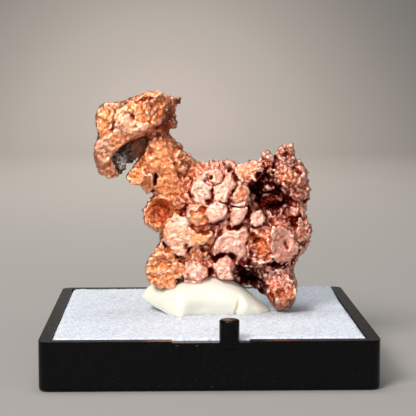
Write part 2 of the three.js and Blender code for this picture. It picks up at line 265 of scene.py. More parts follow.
def placeCamera(settings):
    data = bpy.data.cameras.new("camera")
    data.lens = settings["lens"]
    data.sensor_width = settings["sensor"]
    data.clip_start = settings["near"]
    data.clip_end = settings["far"]
    camera = placed("camera", data)
    camera.location = Vector(settings["place"]) * mm
    camera.rotation_euler = (math.radians(90 - settings["down"]), 0, math.radians(-settings["turn"]))
    scene.camera = camera
    scene.view_settings.view_transform = "Standard"


backdropSettings = {
    "halfWidth": 900, "front": -700, "bend": 330, "radius": 260, "height": 900, "steps": 20,
    # painted light: the paper's colour, from the rim of a wide painted pool of light to its bright middle
    "paintedLightPool": [(0.0, "#918E8B"), (0.12, "#ABA7A2"), (0.24, "#C4BDB6"), (0.45, "#DFD7CD"), (0.8, "#F7E9E1")],
    "paintedLightPoolScale": (6.0, 2.2, 6.0), "paintedLightPoolPlace": (0.03, -0.88, -0.06),
}


def paperWithPaintedLight(settings):
    # matte paper with a painted pool of light: a little brighter in a wide pool behind the piece
    material, tree, bsdf, place = newMaterial("matte paper with painted light", {"Roughness": 0.95, "Specular IOR Level": 0.1})
    centred = {"Location": settings["paintedLightPoolPlace"], "Scale": settings["paintedLightPoolScale"]}
    paintedLightPool = addNode(tree, "Mapping", centred, {"Vector": place})
    fade = addNode(tree, "TexGradient", {"gradient_type": "QUADRATIC_SPHERE"}, {"Vector": paintedLightPool.outputs[0]})
    # painted light: the colour brightens towards the middle of the pool
    colour = addNode(tree, "ValToRGB", {"stops": settings["paintedLightPool"]}, {"Fac": fade.outputs["Fac"]})
    tree.links.new(colour.outputs["Color"], bsdf.inputs["Base Color"])
    return material


def makeBackdrop(settings):
    # a paper sweep: the floor runs back and curls up into the wall
    bm = bmesh.new()
    left = -settings["halfWidth"]
    start = [bm.verts.new((left, settings["front"], 0)), bm.verts.new((left, settings["bend"], 0))]
    bm.edges.new(start)
    bmesh.ops.spin(
        bm, geom=[start[1]], cent=(left, settings["bend"], settings["radius"]), axis=(1, 0, 0),
        dvec=(0, 0, 0), angle=math.radians(90), steps=settings["steps"], use_merge=False,
    )
    top = max(bm.verts, key=lambda vert: vert.co.y)
    up = bmesh.ops.extrude_vert_indiv(bm, verts=[top])["verts"]
    bmesh.ops.translate(bm, verts=up, vec=(0, 0, settings["height"]))
    wide = bmesh.ops.extrude_edge_only(bm, edges=bm.edges[:])["geom"]
    moved = [item for item in wide if isinstance(item, bmesh.types.BMVert)]
    bmesh.ops.translate(bm, verts=moved, vec=(2 * settings["halfWidth"], 0, 0))
    bmesh.ops.recalc_face_normals(bm, faces=bm.faces[:])
    bmesh.ops.scale(bm, verts=bm.verts[:], vec=(mm, mm, mm))
    mesh = meshOf(bm, "backdrop")
    mesh.materials.append(paperWithPaintedLight(settings))
    for polygon in mesh.polygons:
        polygon.use_smooth = True
    backdrop = placed("backdrop", mesh)


lights = {
    # name: place, aim, width, height, watts, colour
    "key": ((-140, -210, 210), (0, 0, 13), 110, 95, 1.06, "#FFFCF8"),
    "front": ((20, -330, 130), (0, 0, 12), 260, 140, 0.3, "#FFFFFF"),
    "top": ((-30, 20, 300), (0, 0, 12), 220, 180, 0.3, "#FFFFFF"),
    "fill": ((240, -120, 90), (0, 0, 12), 140, 140, 0.12, "#F6F8FF"),
    "wall": ((-60, 60, 380), (-60, 430, 120), 300, 200, 0.9, "#FFFFFF"),
}
roomSettings = {"colour": "#CFC8C0", "strength": 0.2}


def makeLight(name, place, aim, width, height, watts, colour):
    data = bpy.data.lights.new(name, "AREA")
    data.shape = "RECTANGLE"
    data.size = width * mm
    data.size_y = height * mm
    data.energy = watts
    data.color = linear(colour)[:3]
    light = placed(name, data)
    light.location = Vector(place) * mm
    light.rotation_euler = (Vector(aim) - Vector(place)).to_track_quat("-Z", "Y").to_euler()


def makeRoom(settings):
    world = bpy.data.worlds.new("room")
    world.use_nodes = True
    scene.world = world
    background = world.node_tree.nodes["Background"]
    background.inputs["Color"].default_value = linear(settings["colour"])
    background.inputs["Strength"].default_value = settings["strength"]


placeCamera(cameraSettings)
makeBackdrop(backdropSettings)
for name, values in lights.items():
    makeLight(name, *values)
makeRoom(roomSettings)
print("camera, paper and lights placed")


traySettings = {
    "side": 31.75, "height": 4.7, "wall": 1.1, "floor": 1.0, "corner": 1.0, "pocketCorner": 0.3, "foot": 0.35,
    "edge": 0.13, "edgeAngle": 50, "flatFace": 0.4, # faces over this many square mm stay flat
    "pegX": 1.8, "pegRadius": 0.94, "pegTop": 6.65, "pegBottom": 3.95, "pegProud": 0.3, "pegEdge": 0.2,
    "ribs": (-3.0, -1.15), "ribRadius": 0.4, "ribBottom": 3.1, "ribTop": 4.4, "ribProud": 0.2,
    "ribEdge": 0.12, "dip": (-3.5, 3.7), "dipDepth": 0.13, "dipCorner": 0.1,
    "nubPlace": (0.25, 0.4), "nubSize": (0.256, 0.12, 0.16),
    "colour": "#040405", "worn": "#15151A",
}
openTop = 9 # height of the cutters that are open above, in mm


def roundedBlock(name, low, high, radius, segments, footRadius=0):
    # a block with its upright edges rounded, and its foot if asked
    bm = bmesh.new()
    made = bmesh.ops.create_cube(bm, size=1)["verts"]
    bmesh.ops.scale(bm, verts=made, vec=Vector(high) - Vector(low))
    bmesh.ops.translate(bm, verts=made, vec=(Vector(low) + Vector(high)) / 2)
    upright = [
        edge for edge in {edge for vert in made for edge in vert.link_edges}
        if abs((edge.verts[0].co - edge.verts[1].co).normalized().z) > 0.9
    ]
    bevelEdges(bm, upright, radius, segments)
    if footRadius:
        foot = [edge for edge in bm.edges if all(vert.co.z < 0.01 for vert in edge.verts)]
        bevelEdges(bm, foot, footRadius, 4)
    return placed(name, meshOf(bm, name))


def rod(name, x, front, proud, radius, bottom, top, edge, segments):
    # an upright rod that stands proud of the front wall
    bm = bmesh.new()
    made = bmesh.ops.create_cone(
        bm, cap_ends=True, segments=segments, radius1=radius, radius2=radius, depth=top - bottom,
    )["verts"]
    bmesh.ops.translate(bm, verts=made, vec=(x, front + radius - proud, (top + bottom) / 2))
    bevelEdges(bm, [e for e in bm.edges if abs(e.verts[0].co.z - e.verts[1].co.z) < 0.01], edge, 4)
    return placed(name, meshOf(bm, name))


def gateMark(place, size, front):
    bm = bmesh.new()
    addLump(bm, (place[0], front, place[1]), size)
    return placed("gate mark", meshOf(bm, "gate mark"))


def mouldedPolystyrene(settings):
    # injection-moulded polystyrene: black and glossy, with a faint flow grain and a few dull grey specks
    material, tree, bsdf, place = newMaterial(
        "moulded polystyrene", {"Roughness": 0.2, "IOR": 1.5, "Specular IOR Level": 0.15},
    )
    flow = addNode(tree, "TexNoise", {"Scale": 900.0, "Detail": 4.0}, {"Vector": place})
    dust = addNode(tree, "TexNoise", {"Scale": 5200.0, "Detail": 2.0}, {"Vector": place})
    stops = [(0.62, settings["colour"]), (0.78, settings["worn"])]
    shade = addNode(tree, "ValToRGB", {"stops": stops}, {"Fac": dust.outputs["Fac"]})
    tree.links.new(shade.outputs["Color"], bsdf.inputs["Base Color"])
    rough = addNode(tree, "MapRange", {"To Min": 0.15, "To Max": 0.3}, {"Value": flow.outputs["Fac"]})
    tree.links.new(rough.outputs[0], bsdf.inputs["Roughness"])
    bump = addNode(tree, "Bump", {"Strength": 0.25, "Distance": 0.00003}, {"Height": flow.outputs["Fac"]})
    tree.links.new(bump.outputs[0], bsdf.inputs["Normal"])
    return material


def makeTray(settings):
    half, height = settings["side"] / 2, settings["height"]
    inner = half - settings["wall"]
    block = roundedBlock(
        "tray block", (-half, -half, 0), (half, half, height), settings["corner"], 8, settings["foot"],
    )
    pocket = roundedBlock(
        "tray pocket", (-inner, -inner, settings["floor"]), (inner, inner, openTop),
        settings["pocketCorner"], 4,
    )
    low, high = settings["dip"]
    dip = roundedBlock(
        "tray dip", (low, -half - 2, height - settings["dipDepth"]), (high, -half + 2, openTop),
        settings["dipCorner"], 2,
    )
    peg = rod(
        "peg", settings["pegX"], -half, settings["pegProud"], settings["pegRadius"], settings["pegBottom"],
        settings["pegTop"], settings["pegEdge"], 48,
    )
    ribs = [
        rod("rib", x, -half, settings["ribProud"], settings["ribRadius"], settings["ribBottom"],
            settings["ribTop"], settings["ribEdge"], 24)
        for x in settings["ribs"]
    ]
    nub = gateMark(settings["nubPlace"], settings["nubSize"], -half)
    cutters = (pocket, dip)
    tools = [pocket, dip, peg, *ribs, nub]
    for tool in tools:
        modifier = block.modifiers.new(tool.name, "BOOLEAN")
        modifier.operation = "DIFFERENCE" if tool in cutters else "UNION"
        modifier.solver = "EXACT"
        modifier.object = tool
    modifier = block.modifiers.new("edges", "BEVEL")
    modifier.width = settings["edge"]
    modifier.segments = 3
    modifier.limit_method = "ANGLE"
    modifier.angle_limit = math.radians(settings["edgeAngle"])
    modifier.use_clamp_overlap = True
    mesh = applied(block)
    for tool in tools:
        bpy.data.objects.remove(tool)
    mesh.transform(Matrix.Scale(mm, 4))
    finishPiece("display_tray", mesh, mouldedPolystyrene(settings), "tray")
    for polygon in mesh.polygons:
        polygon.use_smooth = polygon.area < settings["flatFace"] * mm * mm # rounded edges blend


makeTray(traySettings)
print("tray made")


foamSettings = {
    "half": 14.675, "bottom": 1.02, "top": 4.75, "step": 0.16, "sideCuts": 5,
    "grain": 0.3, "grainHeight": 0.06, "fineShare": 0.55, "sway": 0.04, "swaySize": 5.0,
    "lift": 0.35, "liftStart": 0.25, "edge": 0.28, "edgeWidth": 0.5, "notch": 0.12,
    # glint is a painted highlight colour; shade is a painted shade colour for the dips of the grain
    "white": "#CDD3DC", "shade": "#9DA8B8", "paintedGlint": "#F4F8FC",
}


def foamBlock(settings):
    # a fine grid on top, walls drawn down from its rim, and one face below
    steps = int(2 * settings["half"] / settings["step"])
    bm = bmesh.new()
    bmesh.ops.create_grid(bm, x_segments=steps, y_segments=steps, size=settings["half"])
    rim = [edge for edge in bm.edges if edge.is_boundary]
    side = bmesh.ops.extrude_edge_only(bm, edges=rim)["geom"]
    low = [item for item in side if isinstance(item, bmesh.types.BMVert)]
    bmesh.ops.translate(bm, verts=low, vec=(0, 0, settings["bottom"] - settings["top"]))
    bmesh.ops.holes_fill(bm, edges=[edge for edge in bm.edges if edge.is_boundary], sides=0)
    upright = [e for e in bm.edges if abs(e.verts[0].co.z - e.verts[1].co.z) > 1]
    bmesh.ops.subdivide_edges(bm, edges=upright, cuts=settings["sideCuts"], use_grid_fill=True)
    bmesh.ops.translate(bm, verts=bm.verts[:], vec=(0, 0, settings["top"]))
    bmesh.ops.recalc_face_normals(bm, faces=bm.faces[:])
    return meshOf(bm, "foam")


def cutPolyethylene(settings):
    # cut white polyethylene foam: matte, with tiny cells whose walls glint; the glints are painted highlights
    # in its colour, and shade is painted into the dips of its grain
    material, tree, bsdf, place = newMaterial("cut polyethylene foam", {
        "Roughness": 0.6, "IOR": 1.5, "Subsurface Weight": 0.25, "Subsurface Scale": 0.0006,
        "Subsurface Radius": (1.0, 1.0, 1.0),
    })
    cell = addNode(tree, "TexVoronoi", {"Scale": 4200.0, "feature": "F1"}, {"Vector": place})
    paintedGlint = addNode(tree, "TexNoise", {"Scale": 7000.0, "Detail": 2.0}, {"Vector": place})
    grain = addNode(tree, "Attribute", {"attribute_name": "grain"})
    # painted shade: the colour runs from the shade blue-grey on the low parts of the grain relief to white on
    # its high parts
    stops = [(0.25, settings["shade"]), (0.75, settings["white"])]
    colour = addNode(tree, "ValToRGB", {"stops": stops}, {"Fac": grain.outputs["Fac"]})
    # painted highlight: bright specks are mixed into the colour where the glint noise peaks
    paintedSparkle = addNode(
        tree, "MapRange", {"From Min": 0.55, "From Max": 0.7, "To Max": 0.8}, {"Value": paintedGlint.outputs["Fac"]},
    )
    bright = addNode(
        tree, "Mix", {"data_type": "RGBA", 7: linear(settings["paintedGlint"])},
        {0: paintedSparkle.outputs[0], 6: colour.outputs["Color"]},
    )
    tree.links.new(bright.outputs[2], bsdf.inputs["Base Color"])
    relief = addNode(
        tree, "Math", {"operation": "MULTIPLY"}, {0: cell.outputs["Distance"], 1: paintedGlint.outputs["Fac"]},
    )
    bump = addNode(tree, "Bump", {"Strength": 0.9, "Distance": 0.00012}, {"Height": relief.outputs[0]})
    tree.links.new(bump.outputs[0], bsdf.inputs["Normal"])
    return material


def makeFoam(settings, tray):
    half, grainHeight = settings["half"], settings["grainHeight"]
    mesh = foamBlock(settings)
    points = getPoints(mesh)
    height = np.clip((points[:, 2] - settings["bottom"]) / (settings["top"] - settings["bottom"]), 0, 1)
    toEdge = half - np.maximum(np.abs(points[:, 0]), np.abs(points[:, 1]))
    drop = settings["edge"] * (1 - np.clip(toEdge / settings["edgeWidth"], 0, 1)) ** 2
    cell = cells(points, settings["grain"], 11)
    fine = cells(points, settings["grain"] * settings["fineShare"], 12)
    rise = grainHeight * (1.2 * np.minimum(cell["gap"], 0.5) + 0.7 * cell["shade"] - 0.3)
    rise += 0.5 * grainHeight * (fine["shade"] - 0.5)
    # the grain mask follows the height of the relief, so the colour paints shade into its dips
    grain = np.clip(0.5 + rise / (2 * grainHeight), 0, 1)
    rise += settings["sway"] * waves(points, settings["swaySize"], 3, 2)
    start = settings["liftStart"] # the back right corner curls up
    toRight = np.maximum(0, points[:, 0] / (2 * half) - start) / start
    toBack = np.maximum(0, points[:, 1] / (2 * half) - start) / start
    top = smoothStep(height, 0.9, 1.0)
    points[:, 2] += top * (rise - drop) + height * settings["lift"] * toRight * toBack
    # the pad is cut round the peg
    peg = np.array((tray["pegX"], -tray["side"] / 2 + tray["pegRadius"] - tray["pegProud"]))
    away = points[:, :2] - peg
    distance = np.linalg.norm(away, axis=1)
    push = np.maximum(0, tray["pegRadius"] + settings["notch"] - distance)
    points[:, :2] += away / (distance[:, None] + 1e-9) * push[:, None]
    setPoints(mesh, points)
    setAttribute(mesh, "grain", grain)
    mesh.transform(Matrix.Scale(mm, 4))
    piece = finishPiece("foam_square", mesh, cutPolyethylene(settings), "foam_pad")


makeFoam(foamSettings, traySettings)
print("foam made")


rockSettings = {
    "voxel": 0.14, "facet": 0.75, "facetHeight": 0.34, "chip": 0.33, "chipHeight": 0.2,
    "paleMiddle": (-9.0, 20.4), "paleHalf": (1.3, 1.1), "paintedShadedCopperFrom": -8.2, "paintedShadedCopperTo": -6.4, "paintedShadedCopperMiddle": 21,
    # the copper-brown tone is painted shade: copper in shade beside the rock
    "dark": "#33241F", "mid": "#86695C", "pale": "#D8D4D2", "tip": "#120D0E", "warm": "#A8603A",
}


def darkHostRock(settings):
    # basalt-like host rock: rough and dark, with a silvery crystalline patch, and painted shade towards the
    # copper: the dim copper-brown of copper in shade
    material, tree, bsdf, place = newMaterial("dark host rock", {"Roughness": 0.4, "IOR": 1.6})
    speck = addNode(tree, "TexNoise", {"Scale": 2600.0, "Detail": 5.0, "Roughness": 0.7}, {"Vector": place})
    shades = [
        addNode(tree, "ValToRGB", {"stops": stops}, {"Fac": speck.outputs["Fac"]}).outputs["Color"]
        for stops in (
            [(0.42, settings["tip"]), (0.5, settings["dark"]), (0.6, settings["mid"])],
            [(0.42, settings["dark"]), (0.5, settings["mid"]), (0.58, settings["pale"])],
        )
    ]
    pale = addNode(tree, "Attribute", {"attribute_name": "pale"}).outputs["Fac"]
    mix = addNode(tree, "Mix", {"data_type": "RGBA"}, {0: pale, 6: shades[0], 7: shades[1]})
    # painted shade: the dim copper-brown of copper in shade, mixed in towards the upper right
    warm = addNode(tree, "Attribute", {"attribute_name": "warm"}).outputs["Fac"]
    shadedCopperMix = addNode(
        tree, "Mix", {"data_type": "RGBA", 7: linear(settings["warm"])}, {0: warm, 6: mix.outputs[2]},
    )
    tree.links.new(shadedCopperMix.outputs[2], bsdf.inputs["Base Color"])
    bump = addNode(tree, "Bump", {"Strength": 1.0, "Distance": 0.0004}, {"Height": speck.outputs["Fac"]})
    tree.links.new(bump.outputs[0], bsdf.inputs["Normal"])
    return material


def makeRock(settings):
    mesh = remeshed(solidInMm("host_rock"), settings["voxel"])
    points = spread(getPoints(mesh), getEdges(mesh), 2, 0.5)
    setPoints(mesh, points)
    facet = cells(points, settings["facet"], 41)
    chip = cells(points, settings["chip"], 42)
    rise = settings["facetHeight"] * facet["tilt"] + settings["chipHeight"] * chip["tilt"]
    points = points + getNormals(mesh) * rise[:, None]
    setPoints(mesh, points)
    (middleX, middleZ), (halfX, halfZ) = settings["paleMiddle"], settings["paleHalf"]
    fromPale = np.hypot((points[:, 0] - middleX) / halfX, (points[:, 2] - middleZ) / halfZ)
    setAttribute(mesh, "pale", (1 - smoothStep(fromPale, 0.5, 1.2)) * (0.5 + 0.5 * facet["shade"]))
    # painted shade: a shaded copper tone towards the upper right, where the rock meets the copper
    along = points[:, 0] + 0.6 * (points[:, 2] - settings["paintedShadedCopperMiddle"])
    toPaintedShadedCopper = smoothStep(along, settings["paintedShadedCopperFrom"], settings["paintedShadedCopperTo"])
    setAttribute(mesh, "warm", toPaintedShadedCopper * (0.35 + 0.5 * chip["shade"]))
    mesh.transform(Matrix.Scale(mm, 4))
    finishPiece("host_rock_chip", mesh, darkHostRock(settings), "host_rock")
    for polygon in mesh.polygons:
        polygon.use_smooth = False # broken faces stay crisp


makeRock(rockSettings)
print("rock made")


tackSettings = {
    # crease is a painted shade colour for the fold
    "half": 6.55, "settle": 4.7, "sway": 0.1, "pinch": 0.03, "ivory": "#E2E0D2", "crease": "#A89C7C",
    # outlines along x: heights of the top and the underside, and how far the front and back reach
    "top": [(-6.55, 6.3), (-6.05, 7.25), (-5.2, 7.5), (-4.2, 7.45), (-3.2, 7.7), (-2.1, 8.1), (-0.6, 8.5),
            (0.8, 8.5), (2.0, 8.25), (3.0, 7.75), (4.1, 6.95), (5.1, 6.15), (5.8, 5.6), (6.55, 5.1)],
    "bottom": [(-6.55, 6.1), (-6.0, 5.65), (-5.2, 5.2), (-4.2, 4.85), (-3.3, 4.7), (6.55, 4.7)],
    "front": [(-6.55, 0.6), (-5.9, 0.0), (-4.5, -1.6), (-3.4, -3.0), (-2.7, -3.45), (-1.6, -3.1),
              (-0.2, -2.8), (2.0, -2.9), (3.9, -2.95), (5.3, -2.5), (6.55, -1.5)],
    "back": [(-6.55, 1.4), (-4.5, 3.2), (-1.0, 4.0), (2.0, 3.9), (4.5, 3.0), (6.55, 0.8)],
    # where one lobe was pressed over the other, and the toe that sticks out on the left
    "foldX": 2.95, "foldLean": 0.16, "foldWidth": 0.16, "foldDepth": 0.3, "lobeWidth": 0.7, "lobeDepth": 0.3,
    "under": 0.22, "toe": (-2.7, 4.7), "toeHalf": (0.8, 0.9), "toeDepth": 0.5,
}


def mineralPutty(settings):
    # mineral putty: a soft ivory wax that lets a little light through and takes a dull sheen
    material, tree, bsdf, place = newMaterial("mineral putty", {
        "Roughness": 0.5, "IOR": 1.45, "Subsurface Weight": 0.35, "Subsurface Scale": 0.0009,
        "Subsurface Radius": (1.0, 0.8, 0.55),
    })
    knead = addNode(tree, "TexNoise", {"Scale": 700.0, "Detail": 4.0}, {"Vector": place})
    crease = addNode(tree, "Attribute", {"attribute_name": "crease"})
    # painted shade: the fold is coloured towards the darker crease tone, where shade falls in it
    stops = [(0.25, settings["ivory"]), (0.95, settings["crease"])]
    colour = addNode(tree, "ValToRGB", {"stops": stops}, {"Fac": crease.outputs["Fac"]})
    tree.links.new(colour.outputs["Color"], bsdf.inputs["Base Color"])
    bump = addNode(tree, "Bump", {"Strength": 0.25, "Distance": 0.00012}, {"Height": knead.outputs["Fac"]})
    tree.links.new(bump.outputs[0], bsdf.inputs["Normal"])
    return material


def loafPoints(ball, settings):
    # the ball is drawn out into a loaf that follows the four outlines
    x = settings["half"] * np.sin(np.clip(ball[:, 0], -1, 1) * math.pi / 2 * 0.999)
    ring = np.maximum(np.hypot(ball[:, 1], ball[:, 2]), 1e-6)
    side, rise = ball[:, 1] / ring, ball[:, 2] / ring
    ends = np.minimum(1, ring * 1.25) ** 0.8
    sides = ("top", "front", "back", "bottom")
    top, front, back, low = (np.interp(x, *zip(*settings[name])) for name in sides)
    middle, reach = (front + back) / 2, (back - front) / 2
    side = np.sign(side) * np.abs(side) ** 0.85
    lift = np.clip((rise + 0.4) / 1.4, 0, 1) ** 0.85
    return np.stack([
        x, middle + reach * side * ends, low + (top - low) * lift * (0.35 + 0.65 * ends),
    ], 1)


def makeTack(settings):
    bm = bmesh.new()
    bmesh.ops.create_icosphere(bm, subdivisions=7, radius=1)
    mesh = meshOf(bm, "loaf")
    edges = getEdges(mesh)
    points = spread(loafPoints(getPoints(mesh), settings), edges, 12, 0.5)
    setPoints(mesh, points)
    knead = settings["sway"] * waves(points, 2.4, 5, 2) + settings["pinch"] * waves(points, 0.8, 6, 2)
    points = points + getNormals(mesh) * knead[:, None]
    # the fold on the right
    foldX = settings["foldX"] + settings["foldLean"] * (points[:, 2] - 5) + 0.12 * waves(points, 0.8, 7, 2)
    front = smoothStep(-points[:, 1], -0.6, 1.2)
    low = smoothStep(7.3 - points[:, 2], 0.0, 1.6)
    fold = bellCurve(points[:, 0] - foldX, settings["foldWidth"]) * front * low
    points[:, 1] += settings["foldDepth"] * fold
    lobe = bellCurve(points[:, 0] - foldX - 0.9, settings["lobeWidth"]) * front * low
    points[:, 1] -= settings["lobeDepth"] * lobe
    # pinched under along the front, right of the toe
    under = smoothStep(6.6 - points[:, 2], 0.0, 1.8) * front * smoothStep(points[:, 0], -2.6, -0.9)
    under *= 1 - smoothStep(points[:, 0], 2.4, 3.2)
    points[:, 1] += settings["under"] * under
    (toeX, toeZ), (toeAcross, toeUp) = settings["toe"], settings["toeHalf"]
    toe = np.exp(-((points[:, 0] - toeX) / toeAcross) ** 2 - ((points[:, 2] - toeZ) / toeUp) ** 2) * front
    points[:, 1] -= settings["toeDepth"] * toe
    points[:, 2] = np.maximum(points[:, 2], settings["settle"])
    points = spread(points, edges, 5, 0.5)
    setPoints(mesh, points)
    # painted shade: the crease mask marks the fold for darkening
    setAttribute(mesh, "crease", np.clip(fold, 0, 1))
    mesh.transform(Matrix.Scale(mm, 4))
    finishPiece("putty_lump", mesh, mineralPutty(settings), "mineral_tack")


makeTack(tackSettings)
print("tack made")


nuggetSettings = {
    # sizes of the skins, and how gaps are closed and broad faces smoothed
    "coarse": 0.2, "voxel": 0.128, "quickVoxel": 0.2, "fill": 1.0, "smoothRounds": 45, "swell": 0.12,
    # plates: thickness, rise of the middle, overlap, rim, steepest seat, flattening and its reach
    "thick": 0.8, "dome": 0.025, "grow": 0.14, "rim": 0.12, "steepest": 0.4,
    "flatten": 0.85, "faceReach": 0.3,
    # shadow gaps under the lifted plates, and the sway of every crack
    "gapOut": 0.2, "gapWidth": 0.11, "gapDepth": 0.55, "sway": 0.14, "skinDepth": 0.6,
    # flakes: cell size, height of their tilt, depth and width of the creases between them
    "bigFlake": (1.15, 0.32, 0.12, 0.14), "smallFlake": (0.5, 0.2, 0.09, 0.14),
    "facet": (0.8, 0.2, 0.05, 0.1),
    "thorn": 0.3, "wrinkle": 0.06, "grain": 0.04, "jitter": 0.09,
    # openness: rays from each point, and their length
    "rays": 14, "quickRays": 5, "reach": 2.2,
    # pale and cream are painted highlight colours; deep is a painted shade colour; rust and brown serve both
    # stains and painted shade
    "gold": "#EC8C54", "pink": "#E68D76", "pale": "#FFDCCB", "paintedGoldHighlight": "#FFD2B4", "brown": "#7A3122",
    "deep": "#82200F", "rust": "#A63C14", "ash": "#8C8580",
    # each colour on pink copper and on golden copper
    # bright tints are painted highlights; hollow tints are painted shade
    "tints": {"bare": ("pink", "gold"), "bright": ("pale", "paintedGoldHighlight"), "hollow": ("brown", "rust")},
    # layers over the bare metal: what drives it, where it starts and is full, how strong, its colour
    "layers": [
        # the pale spots and the bright flecks are painted highlights
        ("pale", 0.0, 1.0, 1.0, "pale"), ("fleck", 0.5, 0.66, 0.55, "bright"),
        ("stain", 0.52, 0.68, 0.65, "rust"), ("ridge", 0.45, 0.08, 0.35, "brown"),
        # brown spots: partly the metal's own brown, partly painted shade in the cave, the slot and on the
        # foot
        ("brown", 0.0, 1.0, 1.0, "brown"), ("ash", 0.0, 1.0, 1.0, "ash"),
        # painted highlight on convex edges, painted shade in dents
        ("dent", -0.15, -0.9, 0.65, "bright"), ("dent", 0.3, 0.95, 0.75, "hollow"),
        # painted shade: deep red in the cracks and where a point sees little sky
        ("seam", 0.2, 1.0, 0.85, "deep"), ("sky", 0.65, 0.26, 0.88, "deep"),
    ],
}

